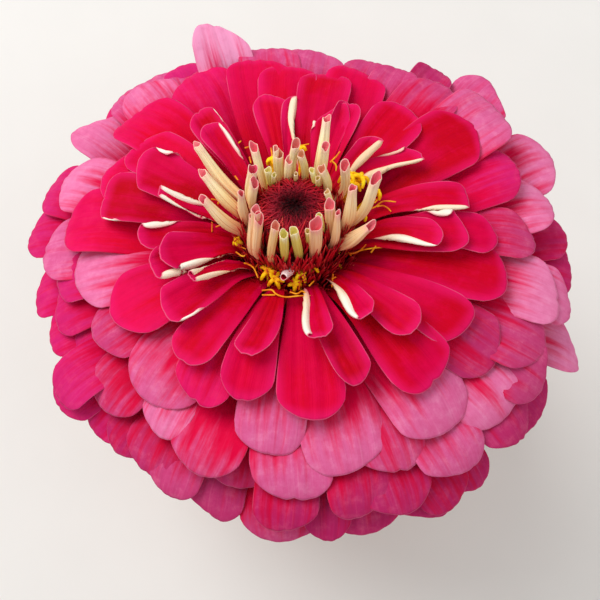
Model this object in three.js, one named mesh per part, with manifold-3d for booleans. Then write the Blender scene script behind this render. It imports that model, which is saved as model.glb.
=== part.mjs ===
// A double zinnia in a plain clay pot, in millimetres, +Z up.
// The origin is the centre of the pot's flat underside, and the bloom leans back, towards +Y.
// The bloom is laid out in a frame of its own: its axis is +Z, and its widest ring of florets is near z = 0.
import * as THREE from "three";
import { mergeVertices } from "three/addons/utils/BufferGeometryUtils.js";
import Module from "manifold-3d";

const wasm = await Module();
wasm.setup();

// Driving dimensions
const gap = 0.3;
const pot = { height: 104, rimRadius: 61, rimHeight: 23, rimStep: 3.5, baseRadius: 41, wall: 5, floor: 6 };
const potSides = 36;
const drain = { count: 3, ring: 20, radius: 5, sides: 12 };
const soil = { edge: 90, crown: 92.5, holeDepth: 34, relief: 0.9, sides: 28 };
const stem = { rootRadius: 3.1, neckRadius: 2.2, swell: 0.9, sides: 9, rings: 24 };
const bloom = { y: -13, z: 232, lean: 20 };
const pocket = { radius: 13, floor: 8 };
const disc = { seat: 11.2, footRadius: 8.6, shoulder: 16.2, coneRadius: 6.2, spikes: 54 };
const involucre = { bottom: -22, top: -8.3, bracts: 8, rows: 3 };
const roundSides = 28;
const floretThickness = 0.8;
const leafThickness = 0.9;

const colours = {
  clay: 0xb5643f,
  soil: 0x3b2a20,
  stem: 0x6f8f3c,
  leaf: 0x4f7d2e,
  bract: 0x6a8a45,
  ray: 0xd81b55,
  cream: 0xe8c295,
  yellow: 0xf2b21c,
  maroon: 0x5a0f1c,
};

const goldenTurn = Math.PI * (3 - Math.sqrt(5));
const radians = THREE.MathUtils.degToRad;

// An even spread from -1 to 1 over the whole numbers. The step is irrational.
function drift(i, step) {
  return 2 * (((i + 1) * step) % 1) - 1;
}

// A row of values that runs straight from stop to stop. Each stop is a position and then its values.
function along(stops, position) {
  const next = stops.findIndex((stop) => stop[0] >= position);
  if (next <= 0) return stops[next < 0 ? stops.length - 1 : 0].slice(1);
  const [a, b] = [stops[next - 1], stops[next]];
  const share = (position - a[0]) / (b[0] - a[0]);
  return a.slice(1).map((value, k) => value + (b[k + 1] - value) * share);
}

// Joining and cutting
function solidOf(geometry) {
  const bare = new THREE.BufferGeometry();
  const loose = geometry.index ? geometry.toNonIndexed() : geometry;
  bare.setAttribute("position", loose.getAttribute("position"));
  const merged = mergeVertices(bare, 1e-4);
  return new wasm.Manifold(
    new wasm.Mesh({
      numProp: 3,
      vertProperties: merged.attributes.position.array,
      triVerts: new Uint32Array(merged.index.array),
    }),
  );
}

function geometryOf(solid) {
  const mesh = solid.getMesh();
  const geometry = new THREE.BufferGeometry();
  geometry.setAttribute("position", new THREE.BufferAttribute(new Float32Array(mesh.vertProperties), 3));
  geometry.setIndex(new THREE.BufferAttribute(new Uint32Array(mesh.triVerts), 1));
  geometry.computeVertexNormals();
  return geometry;
}

// The largest body of a solid, so that a scrap cut loose is dropped.
function mainBody(solid) {
  return solid.decompose().reduce((a, b) => (b.volume() > a.volume() ? b : a));
}

function join(geometries) {
  return wasm.Manifold.union(geometries.map(solidOf));
}

// Shapes
// A profile of [radius, height] points turned round the Z axis. It starts and ends on the axis.
function turned(profile, sides) {
  const points = profile.map(([r, z]) => new THREE.Vector2(r, z));
  return new THREE.LatheGeometry(points, sides).rotateX(Math.PI / 2);
}

// A blade: a flat sheet laid on a surface and given thickness. place(u, v) gives a point and a normal for
// u from -1 to 1 across it and v along it. Both faces are split alike, so that they never cross.
function blade({ columns, rows, thickness, place }) {
  const sheet = new THREE.PlaneGeometry(2, 1, columns, rows.length - 1);
  const flat = sheet.attributes.position;
  const width = columns + 1;
  const corners = [];
  for (const side of [1, -1]) {
    for (let k = 0; k < flat.count; k++) {
      const row = rows.length - 1 - Math.floor(k / width);
      const { point, normal } = place(-flat.getX(k), rows[row]);
      corners.push(...point.addScaledVector(normal, (side * thickness) / 2).toArray());
    }
  }
  const faces = [];
  for (let k = 0; k < sheet.index.count; k += 3) {
    const [a, b, c] = [0, 1, 2].map((n) => sheet.index.getX(k + n));
    faces.push(a, b, c, c + flat.count, b + flat.count, a + flat.count);
  }
  const low = (rows.length - 1) * width;
  const rim = [];
  for (let k = 0; k < columns; k++) rim.push(low + k);
  for (let k = rows.length - 1; k > 0; k--) rim.push(k * width + columns);
  for (let k = columns; k > 0; k--) rim.push(k);
  for (let k = 0; k < rows.length - 1; k++) rim.push(k * width);
  rim.forEach((a, k) => {
    const b = rim[(k + 1) % rim.length];
    faces.push(a, a + flat.count, b + flat.count, a, b + flat.count, b);
  });
  const geometry = new THREE.BufferGeometry();
  geometry.setAttribute("position", new THREE.Float32BufferAttribute(corners, 3));
  geometry.setIndex(faces);
  return geometry;
}

// A point on a curled section, from its middle out to u: how far across, how far up and the slope there.
function sectionAt(u, roll, side) {
  const steps = 6;
  const slope = (t) => (roll / 2) * (t + 0.7 * side * t * t);
  let [across, up] = [0, 0];
  for (let k = 0; k < steps; k++) {
    const angle = slope((u * (k + 0.5)) / steps);
    across += (Math.cos(angle) * u) / steps;
    up += (Math.sin(angle) * u) / steps;
  }
  return { across, up, angle: slope(u) };
}

// The surface of a leaf or floret: a middle line in an upright plane, with a section rolled about it.
// line(v) gives [out, up] on the middle line. roll is the angle that the section turns through, edges up.
function curledSurface({ line, azimuth, halfWidth, roll, side = 0, twist, tipRound, origin }) {
  const outward = new THREE.Vector3(Math.cos(azimuth), Math.sin(azimuth), 0);
  const sideways = new THREE.Vector3(-Math.sin(azimuth), Math.cos(azimuth), 0);
  const at = ([out, rise]) => outward.clone().multiplyScalar(out).add(new THREE.Vector3(0, 0, rise));
  const step = 1e-3;
  return (u, v) => {
    const s = v * (1 - tipRound * u * u * v * v);
    const ahead = at(line(s + step)).sub(at(line(s - step))).normalize();
    const across = sideways.clone().applyAxisAngle(ahead, twist * s);
    const normal = ahead.clone().cross(across);
    const section = sectionAt(u, roll(s), side);
    const point = at(line(s))
      .addScaledVector(across, halfWidth(s) * section.across)
      .addScaledVector(normal, halfWidth(s) * section.up)
      .add(origin);
    normal.multiplyScalar(Math.cos(section.angle)).addScaledVector(across, -Math.sin(section.angle));
    return { point, normal };
  };
}

// A middle line from a root to a tip, leaving each at its own slope.
function arch(root, rootSlope, tip, tipSlope) {
  const reach = Math.hypot(tip[0] - root[0], tip[1] - root[1]) * 0.38;
  const start = new THREE.Vector2(...root);
  const end = new THREE.Vector2(...tip);
  const pull = (from, slope, length) =>
    new THREE.Vector2(Math.cos(slope), Math.sin(slope)).multiplyScalar(length).add(from);
  const curve = new THREE.CubicBezierCurve(
    start,
    pull(start, rootSlope, reach),
    pull(end, tipSlope, -reach),
    end,
  );
  return (v) => curve.getPoint(v).toArray();
}

// Pot and soil
const bodyTop = pot.height - pot.rimHeight;
const bodyTopRadius = pot.rimRadius - pot.rimStep;
const bodyRadius = (z) => THREE.MathUtils.mapLinear(z, 0, bodyTop, pot.baseRadius, bodyTopRadius);
const innerRadius = (z) => bodyRadius(z) - pot.wall;

function makePot() {
  const edge = 1.2;
  const outer = [
    [0, 0],
    [pot.baseRadius - edge, 0],
    [pot.baseRadius, edge],
    [bodyRadius(bodyTop), bodyTop],
    [pot.rimRadius - edge, bodyTop + 0.6],
    [pot.rimRadius, bodyTop + 0.6 + edge],
    [pot.rimRadius + 1, pot.height - edge],
    [pot.rimRadius + 1 - edge, pot.height],
  ];
  const inner = [
    [innerRadius(pot.height) + edge, pot.height],
    [innerRadius(pot.height), pot.height - edge],
    [innerRadius(pot.floor), pot.floor],
    [0, pot.floor],
  ];
  const drains = Array.from({ length: drain.count }, (_, n) =>
    turned([[0, -1], [drain.radius, -1], [drain.radius, pot.floor + 1], [0, pot.floor + 1]], drain.sides)
      .translate(drain.ring, 0, 0)
      .rotateZ((n * 2 * Math.PI) / drain.count),
  );
  return geometryOf(solidOf(turned([...outer, ...inner], potSides)).subtract(join(drains)));
}

const soilTop = (r) => THREE.MathUtils.lerp(soil.crown, soil.edge, (r / innerRadius(soil.edge)) ** 2);
const holeRadius = stem.rootRadius + stem.swell + gap;

// Low crumbs on the soil, as a formula of the place on it.
function crumb(x, y) {
  return soil.relief * (Math.sin(0.62 * x + 1.3) * Math.sin(0.57 * y) + 0.6 * Math.sin(0.31 * x - 0.43 * y));
}

function makeSoil() {
  const wall = innerRadius(soil.edge) - gap;
  const bottom = pot.floor + gap;
  const rings = [holeRadius + 5, 16, 24, 32, 40, 46];
  const profile = [
    [0, bottom],
    [innerRadius(bottom) - gap, bottom],
    [wall, soil.edge],
    ...rings.reverse().map((r) => [r, soilTop(r)]),
    [holeRadius, soil.crown],
    [holeRadius, soil.crown - soil.holeDepth],
    [0, soil.crown - soil.holeDepth],
  ];
  const geometry = turned(profile, soil.sides);
  const at = geometry.attributes.position;
  for (let k = 0; k < at.count; k++) {
    const [x, y, z] = [at.getX(k), at.getY(k), at.getZ(k)];
    const r = Math.hypot(x, y);
    if (z > soil.edge + 0.01 && r > holeRadius + 1) at.setZ(k, z + crumb(x, y));
  }
  return geometry;
}

// Stem
const lean = radians(bloom.lean);
const bloomCentre = new THREE.Vector3(0, bloom.y, bloom.z);
const bloomAxis = new THREE.Vector3(0, Math.sin(lean), Math.cos(lean));
const neck = bloomCentre.clone().addScaledVector(bloomAxis, involucre.bottom - gap);
const stemLine = new THREE.CatmullRomCurve3([
  new THREE.Vector3(0, 0, soil.crown - soil.holeDepth + gap),
  new THREE.Vector3(0, 0, soil.crown - 10),
  new THREE.Vector3(0.5, -1.5, soil.crown + 10),
  new THREE.Vector3(1.5, -9, soil.crown + 40),
  new THREE.Vector3(1.5, -19, soil.crown + 74),
  neck.clone().addScaledVector(bloomAxis, -14),
  neck,
]);

const stemTaper = (share) => THREE.MathUtils.lerp(stem.rootRadius, stem.neckRadius, share);

// The stem is a turned bar with a swelling at each pair of leaves, bent along its line.
function makeStem(pairs) {
  const swelling = (share) => Math.max(...pairs.map((p) => Math.exp(-(((share - p.share) * 26) ** 2))));
  const profile = [[0, 0]];
  for (let k = 0; k <= stem.rings; k++) {
    const share = k / stem.rings;
    profile.push([stemTaper(share) + stem.swell * swelling(share), share]);
  }
  profile.push([0, 1]);
  const geometry = turned(profile, stem.sides);
  const at = geometry.attributes.position;
  const point = new THREE.Vector3();
  for (let k = 0; k < at.count; k++) {
    const frame = stemFrame(at.getZ(k));
    point.copy(frame.centre).addScaledVector(frame.side, at.getX(k)).addScaledVector(frame.front, at.getY(k));
    at.setXYZ(k, point.x, point.y, point.z);
  }
  return geometry;
}

function stemFrame(share) {
  const place = THREE.MathUtils.clamp(share, 0, 1);
  const centre = stemLine.getPointAt(place);
  const tangent = stemLine.getTangentAt(place);
  const side = new THREE.Vector3(1, 0, 0).addScaledVector(tangent, -tangent.x).normalize();
  return { centre, side, front: tangent.clone().cross(side), tangent };
}

// Leaves, in opposite pairs, each pair turned a quarter from the last.
// Each row: height on the stem, azimuth, length, width, slope at the root, slope at the tip.
const leafPairs = [
  { height: 109, azimuth: 42, length: 58, width: 30, rise: 34, fall: -18 },
  { height: 129, azimuth: -46, length: 56, width: 31, rise: 30, fall: -34 },
  { height: 151, azimuth: 38, length: 49, width: 26, rise: 34, fall: -36 },
  { height: 173, azimuth: -50, length: 42, width: 20, rise: 38, fall: -30 },
  { height: 193, azimuth: 44, length: 32, width: 14, rise: 44, fall: -12 },
];
const leafRows = [0, 0.07, 0.18, 0.34, 0.52, 0.7, 0.86, 1];
const leafOutline = [
  [0, 0.3],
  [0.07, 0.62],
  [0.18, 0.88],
  [0.34, 1],
  [0.52, 0.9],
  [0.7, 0.66],
  [0.86, 0.36],
  [1, 0.06],
];

function shareAtHeight(height) {
  const steps = 200;
  for (let k = 0; k < steps; k++) if (stemLine.getPointAt(k / steps).z >= height) return k / steps;
  return 1;
}

function makeLeaf(pair, index, turn) {
  const frame = stemFrame(pair.share);
  const bend = drift(index, Math.SQRT2);
  const start = stemTaper(pair.share) + stem.swell + gap;
  const rise = radians(pair.rise + 4 * bend);
  const fall = radians(pair.fall + 8 * bend);
  const reach = pair.length * (0.97 + 0.03 * bend);
  const middle = (rise + fall) / 2;
  const tip = [start + reach * Math.cos(middle) * 0.97, reach * Math.sin(middle) * 0.97];
  return blade({
    columns: 4,
    rows: leafRows,
    thickness: leafThickness,
    place: curledSurface({
      line: arch([start, 0], rise, tip, fall),
      azimuth: radians(pair.azimuth) + turn,
      halfWidth: (s) => (pair.width / 2) * along(leafOutline, s)[0],
      roll: (s) => 0.95 - 0.5 * s,
      twist: 0.35 * drift(index, Math.sqrt(3)),
      tipRound: 0,
      origin: frame.centre,
    }),
  });
}

// Bloom
// The florets stand in rings, the youngest round the disc. A ring's number is about its tips' distance out.
// Each row: ring, then tip out, tip up, tip slope, root out, root up, root slope.
const rings = [
  [22, 22, 22.3, 46, 14.4, 11.6, 62],
  [26, 26, 20.5, 34, 14.6, 11.4, 52],
  [30, 30, 18.4, 16, 14.8, 11, 44],
  [34, 34, 15.8, -4, 15.2, 10.6, 36],
  [38, 38, 12.5, -18, 17, 9.6, 27],
  [43, 43, 8.2, -34, 21, 7.6, 18],
  [47.5, 47.5, 4.4, -44, 26, 5, 11],
  [51.5, 51.5, 1, -50, 29.5, 3, 6],
  [54.5, 54.5, -2.6, -54, 31.5, 0.4, 1],
  [60, 53, -9, -62, 30, -3, -6],
];

// The bloom isn't quite round. Each row: azimuth, how far the outer rings reach, how far they are raised.
const lopsided = [
  [0, 1.03, 2],
  [45, 1.05, 10],
  [90, 1, 8],
  [135, 1.01, 4],
  [180, 1, 0],
  [225, 0.91, 0],
  [270, 0.985, 0],
  [315, 0.97, 0],
  [360, 1.03, 2],
];

// Every ray floret. Each row: azimuth of its tip, ring, width laid flat, roll of its edges upwards, which
// edge rolls more (1 is the one towards growing azimuth), and for a few, how far the tip stands above its ring.
const rayFlorets = [
  [208, 22.5, 9, 215, 0],
  [282, 24, 9, 150, -0.7],
  [306, 24, 9.5, 150, -0.7],
  [47, 24, 8, 210, 0],
  [139, 25, 8, 210, 0],
  [193, 25.5, 9, 80, 0.5],
  [166, 25.5, 8, 210, 0],
  [350, 26.8, 9.5, 140, -0.6],
  [249, 27, 8.5, 80, 0.6],
  [201, 27.5, 9, 130, 0.6],
  [122, 28.5, 8.5, 120, -0.6],
  [221, 28.5, 11, 85, 0.2],
  [317, 28.5, 9, 55, 0],
  [32, 29, 8, 190, -0.4],
  [185, 29, 9, 110, -0.7],
  [77, 29.5, 8, 170, -0.5],
  [89.5, 30.5, 7.5, 215, 0.2],
  [290.5, 30.5, 8, 60, 0],
  [69.5, 31, 7.5, 110, 0],
  [99, 32, 9.5, 40, 0],
  [358, 32.3, 10, 75, 0.5],
  [238, 32.8, 12.5, 40, 0],
  [12, 33, 9.5, 75, -0.6],
  [125.5, 33, 9, 60, 0],
  [156, 33.5, 13, 50, -0.4],
  [329, 34.5, 12.5, 35, 0],
  [257, 35.5, 10.5, 20, 0],
  [52, 36, 12, 30, 0],
  [308, 37, 16, 20, 0],
  [207, 37.5, 15, 5, 0],
  [273.5, 37.5, 13.5, 12, 0],
  [165, 38, 13, 45, 0],
  [0, 38, 9, 20, 0],
  [243, 38.5, 10, -10, 0],
  [348, 38.8, 15, 15, 0],
  [146, 39, 15, 15, 0],
  [80, 40, 11, 25, 0],
  [35, 41.5, 14.5, 15, 0],
  [92, 42, 12, 10, 0],
  [190, 42, 16, -20, 0],
  [136, 42, 14, 10, 0],
  [328, 43, 14, -20, 0],
  [230, 43, 16.5, -25, 0],
  [264, 43.5, 14.5, -25, 0],
  [207, 43.8, 13, -20, 0],
  [101, 44, 13, 5, 0],
  [306, 44.5, 16.5, -25, 0],
  [3, 45, 11, -10, 0],
  [22, 45, 13, -15, 0],
  [72, 45, 13, 5, 0],
  [114, 45, 14, -10, 0],
  [283, 45.2, 16, -28, 0],
  [50, 46, 13, 12, 0],
  [248.5, 46.5, 14, -25, 0],
  [350, 46.5, 14, -15, 0],
  [237, 46.8, 11, -20, 0],
  [37, 47, 14, 20, 0],
  [62, 47, 10, 40, 0],
  [293, 47.2, 13, -25, 0],
  [183, 47.5, 13, -25, 0],
  [320, 48, 14.5, -28, 0],
  [130, 48, 12, 5, 0],
  [217, 48.5, 13.5, -25, 0],
  [270, 48.8, 15, -28, 0],
  [336, 49, 14, -25, 0],
  [14, 49, 14, -20, 0],
  [97, 49, 13, 5, 0],
  [157, 49, 14, -20, 0],
  [174, 49.5, 13, -20, 0],
  [85, 50.5, 14, -10, 0],
  [352, 50.5, 12, -20, 0],
  [236, 51, 12, -28, 0],
  [192, 51, 13, -25, 0],
  [56, 51, 9, 50, 0],
  [256, 51.2, 15.5, -30, 0],
  [306, 51.5, 14.5, -30, 0],
  [204, 52, 11, -28, 0],
  [122, 52, 14, -15, 0],
  [284, 52.3, 12, -30, 0],
  [210, 52.5, 9, -30, 0],
  [27, 53, 15, -15, 0],
  [108, 53, 11, 20, 0, 7.5],
  [131, 53, 11, -10, 0],
  [291.5, 53.2, 14, -32, 0],
  [268, 53.7, 11, -30, 0],
  [217, 54, 13.5, -30, 0],
  [320, 54, 12, -30, 0],
  [44, 54, 13, -10, 0, 3],
  [243, 54.3, 10, -30, 0],
  [142, 54.5, 13.5, -10, 0, 3],
  [115, 55, 13, -10, 0],
  [70, 55, 12, 0, 0],
  [229, 55.3, 13, -30, 0],
  [157, 55.5, 13, -20, 0],
  [88, 55.5, 12, -10, 0],
  [20, 56, 12, -20, 0],
  [168, 56, 12, -20, 0],
  [183, 56, 13, -25, 0],
  [3, 57, 13, -25, 0],
  [344, 57, 12, -15, 0],
  [195, 57, 12, -28, 0],
  [57, 57, 12, -10, 0],
  [276.5, 57, 8, -30, 0],
  [302, 57, 11, -30, 0],
  [252, 57.3, 11.5, -30, 0],
  [309, 57.3, 10, -30, 0],
  [268, 57.7, 16, -32, 0],
  [328.5, 57.8, 15, -32, 0],
  [241, 58, 12, -30, 0],
  [206, 58, 12, -30, 0],
  [285, 58.2, 14, -32, 0],
  [298.5, 58.2, 13, -32, 0],
];
const rayOutline = [
  [0, 0.5],
  [0.4, 0.72],
  [0.75, 1],
  [1, 0.74],
];

function makeRay([azimuth, ring, width, roll, side, stand = 0], index) {
  const [tipOut, tipUp, tipSlope, rootOut, rootUp, rootSlope] = along(rings, ring);
  const [reach, lift] = along(lopsided, azimuth);
  const outer = THREE.MathUtils.smoothstep(ring, 30, 50);
  const tip = [tipOut * (1 + (reach - 1) * outer), tipUp + lift * outer + stand];
  const slope = tipSlope + 2 * lift * outer + 5 * stand + 6 * drift(index, Math.sqrt(3));
  return blade({
    columns: 2,
    rows: ring < 42 ? [0, 0.42, 0.76, 1] : [0, 0.5, 0.8, 1],
    thickness: floretThickness,
    place: curledSurface({
      line: arch([rootOut, rootUp], radians(rootSlope), tip, radians(slope)),
      azimuth: radians(azimuth),
      halfWidth: (s) => (width / 2) * along(rayOutline, s)[0],
      roll: (s) => radians(roll) * (0.5 + 0.5 * s),
      side,
      twist: 0.1 * drift(index, Math.sqrt(5)),
      tipRound: 0.2,
      origin: new THREE.Vector3(),
    }),
  });
}

// The florets' heart: the low dome that their roots sink into, with a pocket on top for the disc.
const heart = { bottom: -8, foot: 15.6 };

function makeHeart() {
  const profile = [
    [0, heart.bottom],
    [heart.foot, heart.bottom],
    [26, -6.2],
    [33, -3.8],
    [35, -0.6],
    [32.5, 2.8],
    [27.5, 5.8],
    [21.5, 8.6],
    [16.5, 10.9],
    [pocket.radius, 12],
    [pocket.radius, pocket.floor],
    [0, pocket.floor],
  ];
  return turned(profile, roundSides);
}

// What is cut out of the florets: the room over the pocket, and under the dome.
function makeRays() {
  const roomOutline = [
    [0, pocket.floor],
    [pocket.radius, pocket.floor],
    [pocket.radius, 14],
    [19, 30],
    [0, 30],
  ];
  const room = turned(roomOutline, roundSides);
  const under = ringAround(heart.foot, -30, heart.bottom);
  const whole = join([makeHeart(), ...rayFlorets.map(makeRay)]);
  return geometryOf(mainBody(whole.subtract(join([room, under]))));
}

// Tube florets: the youngest, still rolled up and open at the tip, on a collar round the disc's shoulder.
// Each row: azimuth, distance out and height of its tip, radius.
const tubeFlorets = [
  [111, 9.6, 30, 1.2],
  [98, 8.2, 28, 1],
  [86, 10, 30.5, 1.2],
  [71, 16.4, 28.5, 1.45],
  [56, 8.4, 28.5, 1.1],
  [37, 11.4, 28.5, 1.25],
  [19, 15.6, 27.5, 1.25],
  [8, 10.8, 28.5, 1.35],
  [352, 14.2, 22.5, 1.5],
  [338, 8.6, 28.5, 1.25],
  [322, 8.4, 26, 0.9],
  [304, 8.2, 29.5, 1.3],
  [288, 8, 26.5, 0.9],
  [270, 8, 27.5, 0.9],
  [256, 8.2, 27.5, 0.9],
  [239, 8.2, 28.5, 1.05],
  [219, 8.8, 29.5, 1.3],
  [197, 8.6, 28.5, 1.1],
  [176, 16.4, 26, 1.3],
  [177, 9.8, 28.5, 1.2],
  [160, 17.6, 26.5, 1.3],
  [152, 8.6, 30, 1.2],
  [126, 13.2, 28.5, 1.3],
];
const collar = { inner: 6.6, outer: 9.2, low: 16.5, high: 18.4, tubeRoot: 8.2 };

function makeTube([azimuth, out, top, radius]) {
  const rise = top - collar.low;
  const lean = Math.atan2(out - collar.tubeRoot, rise);
  const length = Math.hypot(out - collar.tubeRoot, rise);
  const profile = [
    [0, 0],
    [radius * 0.7, 0],
    [radius, length * 0.6],
    [radius * 0.92, length],
    [radius * 0.5, length],
    [0, length - radius * 1.2],
  ];
  return turned(profile, 6)
    .rotateY(lean)
    .translate(collar.tubeRoot, 0, collar.low + 0.2)
    .rotateZ(radians(azimuth));
}

function ringAround(outer, low, high) {
  return turned([[0, low], [outer, low], [outer, high], [0, high]], roundSides);
}

function makeTubes() {
  const hole = solidOf(ringAround(collar.inner, 8, 40));
  const base = solidOf(ringAround(14, 8, collar.low));
  const whole = join([ringAround(collar.outer, collar.low, collar.high), ...tubeFlorets.map(makeTube)]);
  return geometryOf(mainBody(whole.subtract(hole).subtract(base)));
}

// Open disc florets, on a thin ring round the disc's foot. Each row: azimuth, lean outwards, height.
const openFlorets = [
  [40, 22, 8.6],
  [26, 26, 8.4],
  [12, 40, 6.6],
  [340, 20, 4.3],
  [300, 24, 4.3],
  [285, 30, 4.3],
  [262, 22, 4.3],
  [250, 34, 4.3],
  [225, 20, 4.3],
  [195, 24, 4.3],
  [150, 20, 4.3],
  [110, 22, 4.3],
  [75, 24, 4.3],
];

function makeDiscFlorets() {
  const hole = solidOf(ringAround(disc.footRadius + gap, 8, 30));
  const florets = openFlorets.map(([azimuth, outward, height]) =>
    turned([[0, 0], [0.5, 0], [0.5, height - 1.5], [1.2, height - 0.5], [0.6, height], [0, height - 0.6]], 5)
      .rotateY(radians(outward))
      .translate(10.8, 0, disc.seat + 1)
      .rotateZ(radians(azimuth)),
  );
  const ring = ringAround(pocket.radius - 2 * gap, disc.seat + gap, disc.seat + 1.4);
  return geometryOf(mainBody(join([ring, ...florets]).subtract(hole)));
}

// The disc: a blunt cone with a bristle of chaff on its crown, each scale leaning in to the middle.
function makeDisc() {
  const flange = pocket.radius - gap;
  const cone = turned(
    [
      [0, pocket.floor + gap],
      [flange, pocket.floor + gap],
      [flange, disc.seat],
      [disc.footRadius, disc.seat],
      [disc.footRadius, disc.shoulder],
      [disc.coneRadius, disc.shoulder],
      [disc.coneRadius, 24.5],
      [5, 26.4],
      [2.4, 26],
      [0, 24.6],
    ],
    24,
  );
  const crown = 5.5;
  const scales = Array.from({ length: disc.spikes }, (_, n) => {
    const out = crown * Math.sqrt((n + 0.5) / disc.spikes);
    return new THREE.ConeGeometry(0.62, 3.4, 4)
      .rotateX(Math.PI / 2)
      .rotateY(radians(-34 + 26 * (out / crown)))
      .translate(out, 0, 26.2 - 1.2 * (out / crown) ** 3)
      .rotateZ(n * goldenTurn);
  });
  return geometryOf(mainBody(join([cone, ...scales])));
}

// The green cup under the florets, with its overlapping bracts.
function makeInvolucre() {
  const cup = [
    [0, involucre.bottom],
    [3.4, involucre.bottom],
    [8.6, -20],
    [12.6, -15.5],
    [14.2, involucre.top],
    [0, involucre.top],
  ];
  const bracts = [];
  for (let row = 0; row < involucre.rows; row++) {
    const low = [7.4 + 2.4 * row, -20.4 + 2.6 * row];
    const high = [12.8 + 1.3 * row, -15 + 3 * row];
    for (let n = 0; n < involucre.bracts; n++) {
      bracts.push(
        blade({
          columns: 2,
          rows: [0, 1],
          thickness: 1,
          place: curledSurface({
            line: arch(low, radians(38), high, radians(72)),
            azimuth: ((n + row / 2) * 2 * Math.PI) / involucre.bracts,
            halfWidth: (s) => 2.6 + 2.4 * s,
            roll: () => 0.75,
            twist: 0,
            tipRound: 0.3,
            origin: new THREE.Vector3(),
          }),
        }),
      );
    }
  }
  return geometryOf(mainBody(join([turned(cup, 27), ...bracts])));
}

// Assembly
function mesh(name, geometry, colour, roughness = 0.7) {
  const material = new THREE.MeshStandardMaterial({ color: colour, roughness, metalness: 0 });
  const made = new THREE.Mesh(geometry, material);
  made.name = name;
  return made;
}

const plant = new THREE.Group();
plant.add(mesh("pot", makePot(), colours.clay, 0.9));
plant.add(mesh("soil", makeSoil(), colours.soil, 1));

leafPairs.forEach((pair) => {
  pair.share = shareAtHeight(pair.height);
});
plant.add(mesh("stem", makeStem(leafPairs), colours.stem, 0.6));
leafPairs.forEach((pair, k) => {
  plant.add(mesh(`leaf_${k + 1}_a`, makeLeaf(pair, 2 * k, 0), colours.leaf, 0.6));
  plant.add(mesh(`leaf_${k + 1}_b`, makeLeaf(pair, 2 * k + 1, Math.PI), colours.leaf, 0.6));
});

const head = new THREE.Group();
head.position.copy(bloomCentre);
head.rotation.x = -lean;
head.add(mesh("involucre", makeInvolucre(), colours.bract));
head.add(mesh("ray_florets", makeRays(), colours.ray, 0.55));
head.add(mesh("tube_florets", makeTubes(), colours.cream, 0.6));
head.add(mesh("disc_florets", makeDiscFlorets(), colours.yellow, 0.6));
head.add(mesh("disc", makeDisc(), colours.maroon, 0.8));
plant.add(head);

export default plant;
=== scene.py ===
import math

import bmesh
import bpy
import numpy as np
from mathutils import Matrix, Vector


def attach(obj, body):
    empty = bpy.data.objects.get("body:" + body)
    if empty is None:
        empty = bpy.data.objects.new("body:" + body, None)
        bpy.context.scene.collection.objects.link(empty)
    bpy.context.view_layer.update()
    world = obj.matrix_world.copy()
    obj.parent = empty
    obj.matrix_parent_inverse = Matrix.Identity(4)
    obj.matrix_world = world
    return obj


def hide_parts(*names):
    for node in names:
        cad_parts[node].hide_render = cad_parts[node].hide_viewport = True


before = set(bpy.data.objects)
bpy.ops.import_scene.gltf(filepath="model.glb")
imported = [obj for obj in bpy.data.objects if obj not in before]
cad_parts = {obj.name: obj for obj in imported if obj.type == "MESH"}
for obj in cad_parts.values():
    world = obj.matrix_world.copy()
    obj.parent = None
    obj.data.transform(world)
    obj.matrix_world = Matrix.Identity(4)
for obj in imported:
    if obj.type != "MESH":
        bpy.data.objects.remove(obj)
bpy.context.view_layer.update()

# The bloom is laid out in millimetres in a frame of its own, with its axis along +Z,
# and is then leaned back and lifted onto the stem.
mm = 0.001
golden = 0.618034
bloom = {"centre": (0, -13, 232), "lean": 20}
lean = math.radians(bloom["lean"])
bloomAxis = np.array([0, math.sin(lean), math.cos(lean)])


# Numbers and curves

def drift(i, square):  # an even spread from -1 to 1 over the whole numbers, another one for each square
    return 2 * (((i + 1) * math.sqrt(square)) % 1) - 1


def along(stops, position):  # straight from stop to stop, each a position and then its values
    places = [stop[0] for stop in stops]
    return [np.interp(position, places, [stop[k] for stop in stops]) for k in range(1, len(stops[0]))]


def hermite(t, start, end, startSlope, endSlope):  # from start to end, leaving and arriving at set slopes
    return (
        start * (1 + 2 * t) * (1 - t) ** 2 + end * t * t * (3 - 2 * t)
        + startSlope * t * (1 - t) ** 2 - endSlope * t * t * (1 - t)
    )


def smoothAlong(stops, position):  # a smooth curve through the stops
    x, y = np.array(stops, float).T
    slopes = np.gradient(y, x)
    k = np.clip(np.searchsorted(x, position, side="right") - 1, 0, len(x) - 2)
    step = x[k + 1] - x[k]
    t = np.clip((position - x[k]) / step, 0, 1)
    return hermite(t, y[k], y[k + 1], slopes[k] * step, slopes[k + 1] * step)


def smoothstep(value, low, high):
    t = np.clip((value - low) / (high - low), 0, 1)
    return t * t * (3 - 2 * t)


def pathThrough(points, steps):  # a smooth path through the points, in even steps of its length
    ends = np.vstack([2 * points[0] - points[1], points, 2 * points[-1] - points[-2]])
    finePerPoint = 60
    t = np.linspace(0, 1, finePerPoint, endpoint=False)[:, None]
    fine = []
    for k in range(1, len(ends) - 2):
        a, b, c, d = ends[k - 1:k + 3]
        ab, bc, cd = (math.sqrt(np.linalg.norm(q - p)) for p, q in ((a, b), (b, c), (c, d)))
        startSlope = ((b - a) / ab - (c - a) / (ab + bc) + (c - b) / bc) * bc
        endSlope = ((c - b) / bc - (d - b) / (bc + cd) + (d - c) / cd) * bc
        fine.append(hermite(t, b, c, startSlope, endSlope))
    fine = np.vstack(fine + [ends[-2:-1]])
    reach = np.concatenate([[0], np.cumsum(np.linalg.norm(np.diff(fine, axis=0), axis=1))])
    even = np.linspace(0, reach[-1], steps)
    return np.stack([np.interp(even, reach, fine[:, k]) for k in range(3)], axis=-1)


def unit(vectors):
    return vectors / np.linalg.norm(vectors, axis=-1, keepdims=True)


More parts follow.
